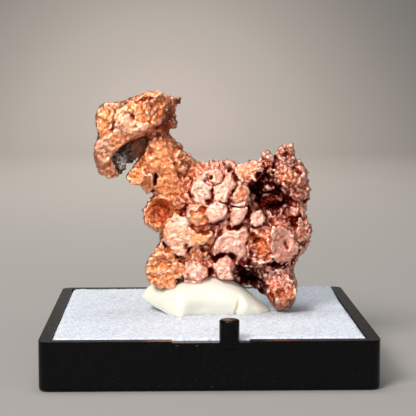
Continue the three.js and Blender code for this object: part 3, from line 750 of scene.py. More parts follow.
# plates that lie on the front of the heap: outline as x, z, then how far it stands proud, tilt up, tilt right
plates = {
    "cheek flap": (
        ((-11.03, 24.17), (-10.9, 25.4), (-10.39, 26.0), (-9.31, 26.14), (-8.71, 25.84), (-9.17, 25.4),
         (-9.34, 24.58), (-9.42, 23.68), (-10.17, 23.12), (-10.72, 22.81), (-10.96, 23.51)),
        0.05, 0, -10,
    ),
    "crown face": (
        ((-9.32, 24.58), (-9.17, 25.36), (-8.69, 25.69), (-7.63, 25.64), (-7.42, 25.06), (-7.28, 24.4),
         (-6.56, 24.1), (-5.72, 23.79), (-6.44, 23.43), (-7.41, 23.14), (-8.25, 23.38), (-8.6, 24.04),
         (-9.35, 23.74)),
        0.15, -4, -4,
    ),
    "crown top": (
        ((-8.05, 26.08), (-7.38, 26.72), (-6.18, 27.22), (-4.98, 27.35), (-4.4, 27.15), (-4.98, 26.74),
         (-6.18, 26.5), (-7.15, 26.26), (-7.63, 25.84)),
        0.12, -12, 0,
    ),
    "crown right": (
        ((-6.18, 26.5), (-4.98, 26.74), (-4.38, 27.0), (-3.9, 26.49), (-3.91, 25.71), (-4.39, 24.57),
         (-4.88, 23.97), (-5.47, 24.46), (-5.95, 25.42), (-6.43, 25.9)),
        0.15, -4, 4,
    ),
    "brow band": (
        ((-11.17, 22.18), (-9.93, 23.12), (-8.72, 24.01), (-7.4, 24.3), (-6.2, 24.2), (-5.3, 23.9),
         (-6.4, 23.35), (-7.41, 22.95), (-8.26, 22.29), (-9.08, 21.45), (-9.53, 20.67), (-10.08, 20.25),
         (-10.92, 20.25), (-11.15, 21.22)),
        0.3, -6, -3,
    ),
    "arm": (
        ((-11.1, 20.85), (-10.08, 20.37), (-9.57, 20.55), (-9.46, 19.64), (-8.91, 19.03), (-9.37, 18.65),
         (-10.07, 18.65), (-10.69, 19.34), (-11.04, 20.13)),
        0.1, 5, -8,
    ),
    "nape plate": (
        ((-2.42, 20.59), (-1.81, 20.71), (-1.57, 20.22), (-2.0, 19.74), (-2.6, 19.14), (-2.78, 19.62)),
        0.2, 5, 10,
    ),
    "pendant": (
        ((-8.04, 18.52), (-7.67, 19.25), (-7.13, 19.51), (-6.22, 19.41), (-5.93, 18.9), (-6.59, 18.03),
         (-7.44, 17.91)),
        0.15, -8, -5,
    ),
    "leaf": (
        ((-6.43, 18.06), (-5.86, 19.24), (-5.3, 18.76), (-5.36, 17.69), (-5.88, 16.95), (-6.21, 17.33)),
        0.3, 5, -15,
    ),
    "left chip": (
        ((-3.37, 16.2), (-2.81, 16.76), (-2.24, 16.42), (-2.11, 15.86), (-2.58, 15.49), (-3.15, 15.52)),
        0.2, -5, -10,
    ),
    "fan": (
        ((-6.0, 9.28), (-5.82, 10.07), (-5.2, 11.1), (-4.51, 12.01), (-4.04, 11.89), (-3.5, 10.98),
         (-2.83, 10.17), (-2.26, 9.49), (-2.6, 8.8), (-3.29, 7.64), (-3.74, 7.43), (-4.53, 7.53),
         (-5.55, 7.79), (-5.89, 8.48)),
        0.1, 0, -6,
    ),
    "big plate": (
        ((-4.4, 13.26), (-4.05, 14.16), (-3.26, 14.84), (-2.59, 15.06), (-2.08, 14.27), (-1.8, 13.59),
         (-1.01, 13.07), (-0.33, 13.18), (0.34, 13.46), (0.59, 13.01), (0.12, 12.44), (-0.56, 11.99),
         (-1.47, 11.88), (-1.92, 11.77), (-2.09, 10.97), (-2.49, 10.63), (-2.94, 10.75), (-3.73, 11.55),
         (-4.17, 12.23)),
        0.3, -5, -8,
    ),
    "rough front": (
        ((-1.75, 15.76), (-0.45, 15.89), (-0.1, 15.26), (0.16, 14.38), (-0.45, 13.91), (-1.15, 14.09),
         (-1.76, 14.62), (-1.95, 15.23)),
        0.1, -4, -4,
    ),
    "pale plate": (
        ((-1.31, 18.59), (-0.44, 18.9), (0.34, 18.67), (0.46, 17.71), (0.5, 16.75), (0.08, 16.22),
         (-0.62, 16.1), (-1.11, 16.32), (-1.4, 16.93), (-1.52, 17.72)),
        0.2, -8, -12,
    ),
    "tan disc": (
        ((0.05, 19.11), (0.52, 19.54), (1.21, 19.49), (1.61, 19.02), (1.51, 18.41), (0.95, 18.06),
         (0.34, 18.2), (0.05, 18.62)),
        0.25, -14, 4,
    ),
    "right plate": (
        ((2.0, 19.14), (2.66, 18.79), (2.9, 18.05), (2.43, 17.39), (2.26, 16.74), (2.1, 16.13),
         (1.3, 16.27), (0.57, 16.52), (0.53, 17.5), (0.81, 17.88), (1.51, 18.09), (1.79, 18.62)),
        0.25, -8, -6,
    ),
    "front plate": (
        ((0.08, 16.22), (0.78, 16.34), (1.65, 16.13), (2.1, 15.69), (2.0, 15.08), (1.33, 14.59),
         (0.77, 14.2), (0.25, 14.42), (-0.01, 15.09), (-0.1, 15.79)),
        0.3, -10, -8,
    ),
    "tan lobe": (
        ((3.01, 18.05), (3.83, 17.87), (4.3, 17.26), (4.41, 16.73), (4.09, 16.39), (2.7, 16.3),
         (2.42, 16.74), (2.52, 17.35), (2.76, 17.84)),
        0.2, -8, 4,
    ),
    "ledge": (
        ((2.49, 16.25), (3.31, 16.34), (4.09, 16.45), (4.34, 16.3), (4.02, 16.0), (3.22, 15.95),
         (2.59, 15.98)),
        0.5, -30, 0,
    ),
    "tilted plate": (
        ((2.73, 15.74), (3.74, 15.88), (4.13, 15.42), (3.92, 14.86), (3.43, 14.19), (2.7, 13.7),
         (2.31, 13.99), (2.49, 14.9)),
        0.25, -4, -14,
    ),
    "smooth plate": (
        ((0.56, 11.18), (1.26, 12.58), (2.0, 13.14), (3.4, 13.7), (4.13, 13.49), (4.13, 12.78),
         (3.79, 11.73), (4.03, 10.66), (4.14, 9.74), (3.4, 9.93), (2.88, 10.67), (2.17, 11.24),
         (1.3, 11.03), (0.81, 10.68)),
        0.15, -8, -4,
    ),
    "small disc": (
        ((4.41, 14.8), (5.11, 15.24), (5.84, 15.15), (6.09, 14.53), (5.67, 14.01), (4.97, 13.8),
         (4.45, 14.19)),
        0.35, -12, -4,
    ),
    "flank": (
        ((6.58, 13.62), (7.6, 13.82), (8.51, 13.12), (9.22, 12.05), (9.23, 10.99), (8.32, 10.26),
         (7.44, 9.91), (6.88, 10.65), (6.94, 12.06), (6.66, 12.91)),
        0.15, -4, 6,
    ),
    "arch bead": (
        ((0.86, 9.97), (1.82, 10.5), (2.56, 10.18), (2.84, 9.26), (2.53, 8.4), (1.3, 8.4), (0.81, 9.27)),
        0.05, -4, 0,
    ),
    "pink bead": (
        ((-2.26, 9.03), (-1.92, 9.83), (-1.24, 10.08), (-0.34, 9.71), (0.11, 9.13), (-0.11, 8.6),
         (-1.02, 8.4), (-1.93, 8.5)),
        0.05, -4, 0,
    ),
    "high disc": (
        ((2.83, 19.24), (3.56, 19.88), (4.78, 20.18), (5.69, 19.88), (5.78, 19.27), (5.13, 18.6),
         (4.26, 18.28), (3.39, 18.54)),
        0.3, -22, 0,
    ),
    "leg": (
        ((5.51, 9.21), (6.91, 9.8), (7.8, 9.23), (8.72, 8.16), (9.07, 7.06), (8.69, 6.35), (8.16, 6.56),
         (7.59, 7.28), (6.57, 7.78), (5.65, 8.35)),
        0.15, -6, -4,
    ),
    "hip": (
        ((9.49, 14.34), (10.4, 14.02), (10.62, 13.11), (10.28, 12.19), (9.54, 11.84), (8.97, 12.55),
         (9.14, 13.47)),
        0.15, 0, 12,
    ),
    "notch bead": (
        ((8.26, 15.19), (9.17, 15.44), (9.56, 15.05), (9.21, 14.63), (8.44, 14.63)),
        0.2, -6, 0,
    ),
    "cave flake": (
        ((5.6, 18.1), (6.5, 18.3), (7.0, 17.7), (6.4, 17.2), (5.7, 17.3)),
        1.0, -10, -10,
    ),
    "cave shelf": (
        ((5.6, 16.6), (6.6, 16.8), (7.9, 16.5), (7.4, 16.1), (6.0, 16.1)),
        1.0, -20, 0,
    ),
    "lobe cap": (
        ((5.6, 20.3), (5.9, 21.0), (6.6, 21.0), (6.8, 20.2), (6.4, 19.6), (5.8, 19.7)),
        0.15, -8, -8,
    ),
    "tower cap": (
        ((7.2, 21.2), (7.8, 21.7), (8.8, 21.8), (9.1, 21.3), (9.0, 20.5), (8.0, 20.2), (7.3, 20.4)),
        0.12, -8, 4,
    ),
    "shoulder plate": (
        ((7.2, 19.2), (8.2, 19.5), (9.3, 19.1), (9.6, 18.2), (8.8, 17.8), (7.6, 17.9)),
        0.2, -10, 4,
    ),
    "elbow plate": (
        ((9.4, 18.1), (10.3, 17.8), (10.8, 17.0), (10.3, 16.2), (9.5, 16.6), (9.2, 17.3)),
        0.15, -4, 12,
    ),
}

# plates with a shadow gap under their edges
lifted = (
    "leaf", "smooth plate", "flank", "big plate", "pale plate", "tan disc", "right plate", "front plate",
    "tan lobe", "ledge", "tilted plate", "small disc", "high disc", "arch bead", "hip", "notch bead",
    "elbow plate",
)

# narrow ridges: points along the front, radius, proud
ridges = [
    ([(-9.08, 21.45), (-8.26, 22.25), (-7.3, 22.95), (-6.1, 23.45), (-5.2, 23.85)], 0.24, 0.25),
    ([(6.75, 13.2), (6.8, 12.0), (6.75, 10.8), (6.6, 10.35), (5.9, 10.2), (5.2, 10.1)], 0.17, 0.4),
    ([(4.2, 12.6), (4.15, 11.6), (4.3, 10.8)], 0.17, 0.3),
    ([(6.25, 12.6), (6.25, 11.2), (5.9, 10.75), (5.1, 10.75)], 0.13, 0.3),
    ([(8.6, 12.9), (9.1, 12.3), (9.2, 11.6), (8.9, 11.1)], 0.16, 0.15),
    ([(9.9, 12.4), (9.6, 11.8), (9.7, 11.0)], 0.16, 0.15),
    ([(6.1, 9.3), (6.9, 9.1), (7.6, 8.5), (7.9, 7.6)], 0.18, 0.15),
    ([(8.0, 9.2), (8.4, 8.4), (8.4, 7.2)], 0.18, 0.15),
    ([(7.3, 6.6), (7.2, 6.0)], 0.12, 0.06),
    ([(8.3, 6.5), (8.4, 5.9)], 0.12, 0.06),
    ([(-8.05, 26.0), (-7.15, 26.5), (-5.94, 26.98), (-4.5, 27.0)], 0.16, 0.05),
    ([(-3.9, 26.2), (-3.2, 26.7), (-2.4, 26.75)], 0.2, 0.1),
    ([(-3.6, 16.3), (-4.6, 16.55), (-5.5, 16.4), (-6.05, 15.7), (-6.25, 14.85), (-5.95, 14.1), (-5.3, 13.6),
      (-4.6, 13.5)], 0.22, 0.15),
]

# cracks and hollows pressed into the front: points, radius, depth
cracks = [
    ([(2.65, 14.9), (2.1, 14.5), (1.3, 14.3), (0.75, 13.95), (0.15, 14.1)], 0.16, 0.7),
    ([(2.35, 16.0), (2.35, 14.9)], 0.16, 0.7),
    ([(-2.53, 15.06), (-2.08, 15.74), (-1.68, 15.85)], 0.16, 0.6),
    ([(-2.14, 14.95), (-1.75, 14.27), (-1.7, 13.85), (-1.2, 13.5), (-0.33, 13.45)], 0.19, 0.8),
    ([(1.45, 13.3), (0.9, 12.4), (0.6, 11.9), (0.2, 11.9)], 0.13, 0.5),
    ([(-0.4, 11.4), (-0.1, 11.0)], 0.14, 0.5),
    ([(0.2, 11.2), (0.4, 10.8)], 0.14, 0.5),
    ([(-2.1, 11.9), (-2.0, 11.6)], 0.15, 0.5),
    ([(0.8, 10.35), (1.4, 10.95), (2.1, 11.05), (2.9, 10.6)], 0.22, 1.0),
    ([(2.95, 10.3), (3.1, 9.6), (2.9, 8.9)], 0.22, 0.9),
    ([(-3.06, 8.17), (-2.04, 8.34)], 0.22, 0.9),
    ([(0.3, 8.6), (0.45, 9.3)], 0.2, 0.9),
    ([(-3.73, 11.32), (-3.28, 10.75), (-2.4, 10.4), (-1.9, 10.7)], 0.2, 0.8),
    ([(4.4, 15.9), (4.3, 15.0), (3.9, 14.3), (3.1, 13.6)], 0.2, 0.9),
    ([(4.5, 11.1), (4.6, 10.9)], 0.3, 0.4),
    ([(4.8, 12.7), (5.4, 12.2)], 0.35, 0.35),
    ([(8.1, 12.0), (8.3, 11.5)], 0.14, 0.45),
    ([(5.9, 9.75), (7.6, 9.95)], 0.2, 0.9),
    ([(3.9, 9.3), (4.6, 7.9), (5.5, 6.8)], 0.85, 2.4),
    ([(4.9, 17.9), (5.6, 17.0), (6.4, 16.0), (7.7, 15.6)], 0.8, 1.5),
    ([(5.4, 18.8), (6.3, 18.2), (7.4, 17.2), (8.6, 16.1)], 0.4, 0.9),
    ([(7.6, 16.0), (9.3, 15.9)], 0.3, 0.9),
    ([(-5.15, 18.9), (-5.3, 17.2)], 0.14, 0.9),
    ([(-0.05, 16.3), (0.8, 16.45), (1.6, 16.25), (2.2, 16.0)], 0.1, 0.5),
    ([(-1.5, 18.6), (-1.65, 17.6), (-1.5, 16.8)], 0.12, 0.5),
    ([(0.1, 18.7), (0.6, 18.05), (1.3, 18.1)], 0.09, 0.45),
    ([(-6.2, 19.4), (-5.2, 18.9)], 0.12, 0.5),
    ([(6.95, 19.2), (6.95, 20.6)], 0.2, 0.9),
    ([(8.3, 20.9), (8.35, 20.8)], 0.3, 0.6),
    ([(-5.0, 23.6), (-4.88, 23.0)], 0.24, 0.8),
    ([(-0.44, 15.96), (-0.3, 15.7)], 0.25, 0.5),
    ([(1.75, 15.95), (1.95, 15.7)], 0.1, 0.3),
    ([(0.55, 17.9), (0.52, 17.2), (0.55, 16.6)], 0.1, 0.3),
    ([(-8.71, 25.76), (-9.17, 25.4), (-9.32, 24.58), (-9.4, 23.74), (-9.93, 23.14),
      (-10.9, 22.36)], 0.13, 0.4),
    ([(-7.37, 25.18), (-7.34, 24.64)], 0.12, 0.45),
    ([(-5.47, 24.76), (-5.62, 24.34)], 0.12, 0.45),
    ([(-5.35, 25.96), (-4.99, 26.14)], 0.2, 0.35),
    ([(-7.03, 26.26), (-5.94, 26.62), (-4.98, 26.74)], 0.1, 0.3),
    ([(-3.5, 20.9), (-3.1, 20.2), (-2.9, 19.3), (-2.5, 18.7)], 0.12, 0.4),
    ([(-2.36, 17.68), (-1.76, 18.16)], 0.16, 0.6),
    ([(1.95, 19.9), (2.5, 19.3)], 0.2, 0.6),
    ([(2.75, 18.4), (3.1, 18.3)], 0.16, 0.6),
    ([(2.35, 17.0), (2.3, 16.3)], 0.13, 0.5),
    ([(-1.65, 18.2), (-1.6, 17.2)], 0.13, 0.4),
    ([(7.3, 17.4), (7.6, 16.5)], 0.2, 0.6),
    ([(8.9, 14.2), (9.2, 13.6)], 0.2, 0.6),
    ([(8.9, 10.4), (8.9, 9.9)], 0.2, 0.6),
    ([(9.1, 17.9), (9.3, 17.0)], 0.15, 0.4),
    ([(6.2, 13.9), (7.4, 14.4), (8.2, 14.3)], 0.18, 0.6),
    ([(-4.6, 18.9), (-3.9, 17.6)], 0.18, 0.2),
    ([(-6.5, 22.3), (-5.6, 21.0)], 0.3, 0.3),
]

# hollows: x, z, half width, half height, depth
bowls = [
    (-4.75, 15.1, 1.3, 1.35, 0.95), (5.4, 11.7, 0.85, 1.0, 0.4), (-4.3, 9.9, 0.95, 0.95, 0.35),
    (8.0, 12.4, 0.7, 1.0, 0.2),
]

# soft spots on the front: x, z, reach across, reach up, amount
goldSpots = [
    (-6.0, 22.0, 5.5, 6.5, 0.95), (-4.9, 15.0, 2.2, 2.4, 1.0), (-4.2, 9.6, 2.2, 2.6, 0.9),
    (-1.5, 12.6, 2.6, 1.2, 0.75), (-0.3, 15.7, 0.5, 0.5, 1.0), (-1.0, 14.8, 1.0, 0.9, 0.8),
    (4.9, 12.4, 0.9, 0.8, 0.9), (8.3, 18.8, 1.0, 0.9, 0.7), (3.3, 17.2, 0.9, 0.8, 0.5),
    (5.9, 11.6, 0.6, 1.2, 0.8), (7.8, 5.9, 1.6, 1.3, 0.7), (-0.6, 11.3, 1.5, 1.0, 0.6),
    (4.3, 19.1, 1.2, 0.7, 0.4),
]
# painted highlights: pale spots where light falls on plates, beads and ledges
paintedHighlightSpots = [
    (-0.5, 17.4, 0.9, 1.2, 0.5), (1.0, 15.3, 0.95, 0.9, 0.35), (3.4, 16.15, 0.8, 0.16, 0.8),
    (6.8, 11.7, 0.2, 1.5, 0.7), (6.0, 10.2, 0.9, 0.18, 0.7), (-2.6, 14.4, 0.8, 0.5, 0.7),
    (2.9, 11.8, 0.7, 0.5, 0.5), (-2.7, 12.9, 1.2, 1.8, 0.4), (1.7, 9.4, 0.7, 0.7, 0.45),
    (-1.2, 9.2, 0.9, 0.7, 0.5), (1.5, 17.0, 0.8, 1.2, 0.3), (2.2, 12.2, 1.6, 1.0, 0.35),
    (3.2, 14.9, 0.6, 0.9, 0.45), (8.0, 12.2, 0.9, 1.2, 0.25), (-7.6, 23.6, 2.2, 0.7, 0.3),
    (-8.2, 24.7, 0.7, 0.5, 0.35), (-10.2, 21.6, 0.8, 1.2, 0.3), (7.0, 8.9, 0.9, 0.7, 0.4),
    (5.3, 14.5, 0.6, 0.5, 0.3), (-2.5, 11.0, 0.4, 0.4, 0.6),
]
# brown tone, partly the metal's own and partly painted shade in the cave, the slot under the body and on the
# foot
brownAndShadeSpots = [
    (7.9, 6.0, 1.6, 1.3, 0.75), (8.4, 8.0, 1.0, 1.6, 0.3), (-2.8, 26.6, 1.1, 0.7, 0.9),
    (-3.7, 24.4, 1.0, 1.4, 0.75), (-3.7, 21.4, 0.7, 1.0, 0.5), (-5.2, 22.8, 1.1, 0.5, 0.6),
    (-2.7, 19.2, 0.6, 1.0, 0.45), (-6.6, 26.6, 2.2, 0.5, 0.35), (-2.2, 20.0, 0.7, 0.7, 0.6),
    (8.4, 20.6, 1.1, 1.2, 0.4), (9.0, 17.0, 1.6, 1.4, 0.35), (6.2, 17.0, 2.0, 1.8, 0.65),
    (4.6, 8.0, 1.4, 1.8, 0.8), (-4.8, 15.4, 1.1, 1.0, 0.35), (9.8, 12.8, 1.0, 1.6, 0.35),
    (-2.6, 18.2, 0.7, 1.2, 0.35), (7.0, 15.2, 1.8, 0.8, 0.4),
]
ashSpots = [
    (8.3, 20.9, 0.3, 0.28, 0.9), (4.5, 11.0, 0.25, 0.2, 0.7), (5.7, 8.2, 0.25, 0.2, 0.8),
    (5.2, 7.7, 0.25, 0.2, 0.7), (-2.6, 10.5, 0.5, 0.25, 0.6), (-4.6, 9.0, 0.35, 0.3, 0.35),
]
calmSpots = [
    (-7.5, 23.5, 4.5, 4.5, 0.85), (-4.9, 19.6, 2.0, 3.8, 1.0), (-6.6, 18.6, 1.6, 1.2, 0.9),
    (-0.5, 17.3, 1.1, 1.4, 0.9), (1.6, 17.1, 1.1, 1.5, 0.85), (1.0, 15.3, 1.1, 1.1, 0.9),
    (-2.2, 12.9, 2.4, 2.0, 0.9), (2.4, 12.0, 2.0, 1.8, 0.85), (3.2, 14.9, 0.9, 1.2, 0.85),
    (8.0, 12.2, 1.4, 1.9, 0.7), (5.3, 14.5, 0.9, 0.8, 0.8), (-1.1, 9.2, 1.2, 0.9, 0.7),
    (1.75, 9.4, 1.1, 1.1, 0.7), (-4.9, 15.2, 1.3, 1.3, 0.7), (-4.2, 9.5, 1.8, 2.2, 0.75),
    (4.3, 19.2, 1.4, 0.9, 0.7), (7.6, 5.9, 1.5, 1.3, 0.9), (0.8, 18.8, 0.8, 0.8, 0.8),
]
wildSpots = [
    (10.3, 15.5, 1.0, 4.5, 0.8), (-1.5, 19.6, 1.6, 0.8, 0.8), (7.5, 18.0, 3.2, 3.6, 1.0),
    (-1.7, 17.6, 1.0, 2.2, 0.6), (-0.5, 11.2, 1.6, 0.8, 0.6), (-3.2, 25.5, 1.2, 2.0, 0.6),
    (9.6, 12.5, 1.2, 2.5, 0.6), (1.3, 20.0, 2.0, 0.8, 0.7),
]
flakySpots = [
    (-7.6, 24.6, 3.4, 3.0, 0.45), (-10.3, 21.0, 1.0, 2.4, 0.5), (-4.2, 9.8, 1.8, 2.0, 0.5),
    (7.3, 8.2, 1.6, 1.4, 0.7),
]
fillSpots = [
    (2.6, 14.0, 5.4, 5.2, 1.0), (0.2, 10.2, 3.4, 1.9, 1.0), (-2.0, 12.0, 2.2, 3.0, 0.9),
    (-8.0, 24.4, 2.8, 1.6, 0.7), (-4.3, 19.8, 1.6, 2.8, 0.8), (8.0, 13.0, 2.2, 3.0, 0.9),
    (7.7, 7.3, 1.1, 1.7, 0.9), (8.5, 18.2, 1.6, 2.4, 0.7),
]
smoothSpots = [
    (-4.9, 19.9, 1.8, 3.2, 1.0), (-7.9, 24.0, 2.8, 1.5, 0.7), (-7.0, 18.7, 1.0, 0.9, 0.7),
    (-4.8, 15.2, 1.6, 1.7, 0.9), (7.8, 6.0, 1.4, 1.3, 0.8), (3.0, 12.0, 2.6, 2.2, 0.5),
]


def spots(points, entries):
    x, z = points[:, 0], points[:, 2]
    amount = np.zeros(len(points))
    for spotX, spotZ, across, up, most in entries:
        away = np.hypot((x - spotX) / across, (z - spotZ) / up)
        amount = np.maximum(amount, most * smoothStep(1.35 - away, 0.0, 0.6))
    return amount


def alongLine(x, z, line):
    # how far points lie from a line of points on the front
    nearest = np.full(len(x), 1e9)
    for (x0, z0), (x1, z1) in zip(line, line[1:]):
        length = (x1 - x0) ** 2 + (z1 - z0) ** 2
        t = np.clip(((x - x0) * (x1 - x0) + (z - z0) * (z1 - z0)) / length, 0, 1)
        nearest = np.minimum(nearest, np.hypot(x - x0 - t * (x1 - x0), z - z0 - t * (z1 - z0)))
    return nearest


def within(x, z, outline):
    # which points lie inside an outline
    hit = np.zeros(len(x), bool)
    for (x0, z0), (x1, z1) in zip(outline, outline[1:] + outline[:1]):
        if z0 != z1:
            hit ^= ((z0 > z) != (z1 > z)) & (x < (x1 - x0) * (z - z0) / (z1 - z0) + x0)
    return hit


def frontOf(tree, x, z):
    hit = tree.ray_cast(Vector((x, -20, z)), Vector((0, 1, 0)))[0]
    return hit.y if hit else None


def filledHeap(settings):
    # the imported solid, its gaps closed: grown, joined and drawn back in
    mesh = remeshed(solidInMm("copper_nugget"), settings["coarse"])
    for way in (1, -1):
        points = spread(getPoints(mesh), getEdges(mesh), 3, 0.5)
        setPoints(mesh, points)
        share = spots(points, fillSpots)
        setPoints(mesh, points + getNormals(mesh) * (way * settings["fill"] * share)[:, None])
        bm = bmesh.new()
        bm.from_mesh(mesh)
        bpy.data.meshes.remove(mesh)
        mesh = remeshed(bm, settings["coarse"])
    # the neck and a few broad faces are sheets, not beads
    points = getPoints(mesh)
    share = spots(points, smoothSpots)
    points += (spread(points, getEdges(mesh), settings["smoothRounds"], 0.6) - points) * share[:, None]
    setPoints(mesh, points)
    setPoints(mesh, points + getNormals(mesh) * (settings["swell"] * share)[:, None])
    return mesh


def plateOutline(outline, grow):
    # the outline as one face, its corners eased; neighbours overlap a little
    small = bmesh.new()
    small.faces.new([small.verts.new((x, 0, z)) for x, z in outline])
    bmesh.ops.subdivide_edges(small, edges=small.edges[:], cuts=1)
    bmesh.ops.smooth_vert(
        small, verts=small.verts[:], factor=0.3, use_axis_x=True, use_axis_y=True, use_axis_z=True,
    )
    centre = sum((vert.co for vert in small.verts), Vector()) / len(small.verts)
    for vert in small.verts:
        vert.co += (vert.co - centre).normalized() * grow
    return small, centre


def plateSeat(small, centre, tree, steepest):
    # the plane that best fits the heap behind a plate: slope in x, slope in z, depth at its centre
    seats = []
    for vert in small.verts:
        for share in (0.25, 0.55, 0.85):
            x, z = centre.x + (vert.co.x - centre.x) * share, centre.z + (vert.co.z - centre.z) * share
            y = frontOf(tree, x, z)
            if y is not None:
                seats.append((x, z, y))
    if len(seats) < 6:
        return None
    seats = np.array(seats)
    near = seats[seats[:, 2] < np.percentile(seats[:, 2], 75)]
    system = np.stack([near[:, 0] - centre.x, near[:, 1] - centre.z, np.ones(len(near))], 1)
    slopeX, slopeZ, level = np.linalg.lstsq(system, near[:, 2], rcond=None)[0]
    return float(np.clip(slopeX, -steepest, steepest)), float(np.clip(slopeZ, -steepest, steepest)), level


def addPlate(bm, tree, settings, outline, proud, up, right):
    # a flake of the given outline, laid against the heap; says where its face lies
    small, centre = plateOutline(outline, settings["grow"])
    seat = plateSeat(small, centre, tree, settings["steepest"])
    if seat is None:
        small.free()
        return None
    slopeX = seat[0] + math.tan(math.radians(right))
    slopeZ = seat[1] - math.tan(math.radians(up))
    level = seat[2] - proud
    faces = small.faces[:]
    for _ in range(2):
        bmesh.ops.inset_region(small, faces=faces, thickness=settings["rim"], depth=0.0, use_even_offset=True)
        for vert in {vert for face in faces for vert in face.verts}:
            vert.co.y -= settings["dome"]
    back = bmesh.ops.extrude_face_region(small, geom=small.faces[:])["geom"]
    moved = [item for item in back if isinstance(item, bmesh.types.BMVert)]
    bmesh.ops.translate(small, verts=moved, vec=(0, settings["thick"], 0))
    for vert in small.verts:
        vert.co.y += level + slopeX * (vert.co.x - centre.x) + slopeZ * (vert.co.z - centre.z)
    bmesh.ops.recalc_face_normals(small, faces=small.faces[:])
    joinTo(bm, small)
    return centre.x, centre.z, level - 2 * settings["dome"], slopeX, slopeZ


def addRidge(bm, tree, line, radius, proud):
    # a row of overlapping beads seated on the heap
    for (x0, z0), (x1, z1) in zip(line, line[1:]):
        count = max(2, int(math.hypot(x1 - x0, z1 - z0) / (0.7 * radius)))
        for step in range(count + 1):
            x, z = x0 + (x1 - x0) * step / count, z0 + (z1 - z0) * step / count
            y = frontOf(tree, x, z)
            if y is not None:
                addLump(bm, (x, y + 0.6 * radius - proud, z), (radius, 1.2 * radius, radius))


def platedSkin(settings):
    # one skin round the heap, its plates and its ridges
    heap = filledHeap(settings)
    tree = treeOf(heap)
    bm = bmesh.new()
    bm.from_mesh(heap)
    bpy.data.meshes.remove(heap)
    planes = {name: addPlate(bm, tree, settings, *values) for name, values in plates.items()}
    for line, radius, proud in ridges:
        addRidge(bm, tree, line, radius, proud)
    return remeshed(bm, settings["voxel"]), planes


def flattenPlates(points, planes, settings):
    # the faces of the lifted plates are nearly flat
    flat = np.zeros(len(points))
    for name in lifted:
        if planes[name] is None:
            continue
        centreX, centreZ, level, slopeX, slopeZ = planes[name]
        face = level + slopeX * (points[:, 0] - centreX) + slopeZ * (points[:, 2] - centreZ)
        chosen = within(points[:, 0], points[:, 2], plates[name][0])
        chosen &= np.abs(points[:, 1] - face) < settings["faceReach"]
        eased = (1 - settings["flatten"]) * points[:, 1] + settings["flatten"] * face
        points[:, 1] = np.where(chosen, eased, points[:, 1])
        flat[chosen] = 1
    return flat


def undercuts(settings):
    # a narrow gap along the lower and right edges of every lifted plate, just outside it
    found = []
    step = settings["gapOut"]
    for name in lifted:
        outline = plates[name][0]
        middleX = sum(x for x, z in outline) / len(outline)
        middleZ = sum(z for x, z in outline) / len(outline)
        for (x0, z0), (x1, z1) in zip(outline, outline[1:] + outline[:1]):
            outX, outZ = z0 - z1, x1 - x0
            length = math.hypot(outX, outZ)
            outX, outZ = outX / length, outZ / length
            if outX * ((x0 + x1) / 2 - middleX) + outZ * ((z0 + z1) / 2 - middleZ) < 0:
                outX, outZ = -outX, -outZ
            if outZ < -0.4 or outX > 0.85:
                line = [(x0 + step * outX, z0 + step * outZ), (x1 + step * outX, z1 + step * outZ)]
                found.append((line, settings["gapWidth"], settings["gapDepth"]))
    return found


def pressCracks(mesh, points, settings):
    # cracks and hollows go in while the surface is smooth; gives how much painted shade each point gets in
    # the cracks
    normals = getNormals(mesh)
    skin = treeOf(mesh)
    depth = np.zeros(len(points))
    swayX, swayZ = (settings["sway"] * waves(points, 0.55, seed, 3) for seed in (27, 28))
    bite = np.clip(0.6 + 1.5 * waves(points, 0.9, 29, 2), 0.0, 1.3)
    for line, radius, most in cracks + undercuts(settings):
        away = alongLine(points[:, 0] + swayX, points[:, 2] + swayZ, line)
        press = np.where(away < 1.8 * radius, most * bite * np.exp(-(away / radius) ** 2 * 1.1), 0)
        depth = np.maximum(depth, press)
    # the wide hollows get less painted shade
    seam = np.clip(depth / 0.4, 0, 1) * (1 - 0.7 * smoothStep(depth, 0.7, 1.1))
    x, z = points[:, 0] + 0.6 * swayX, points[:, 2] + 0.6 * swayZ
    for bowlX, bowlZ, across, up, most in bowls:
        away = np.hypot((x - bowlX) / across, (z - bowlZ) / up)
        depth = np.maximum(depth, most * (1 - away ** 2))
    # only the front skin is pressed in
    for i in np.nonzero(depth > 0)[0]:
        x, y, z = points[i]
        front = frontOf(skin, x, z) if normals[i, 1] < 0.35 else None
        if front is None or y - front > settings["skinDepth"]:
            depth[i] = seam[i] = 0
    points[:, 1] += depth
    points[:, 0] += settings["jitter"] * waves(points, 0.45, 33, 3)
    points[:, 2] += settings["jitter"] * waves(points, 0.45, 34, 3)
    return seam


def flakes(found, height, crease, width):
    # tilted flakes with a crease between them
    return height * found["tilt"] - crease * smoothStep(width - found["gap"], 0, width)


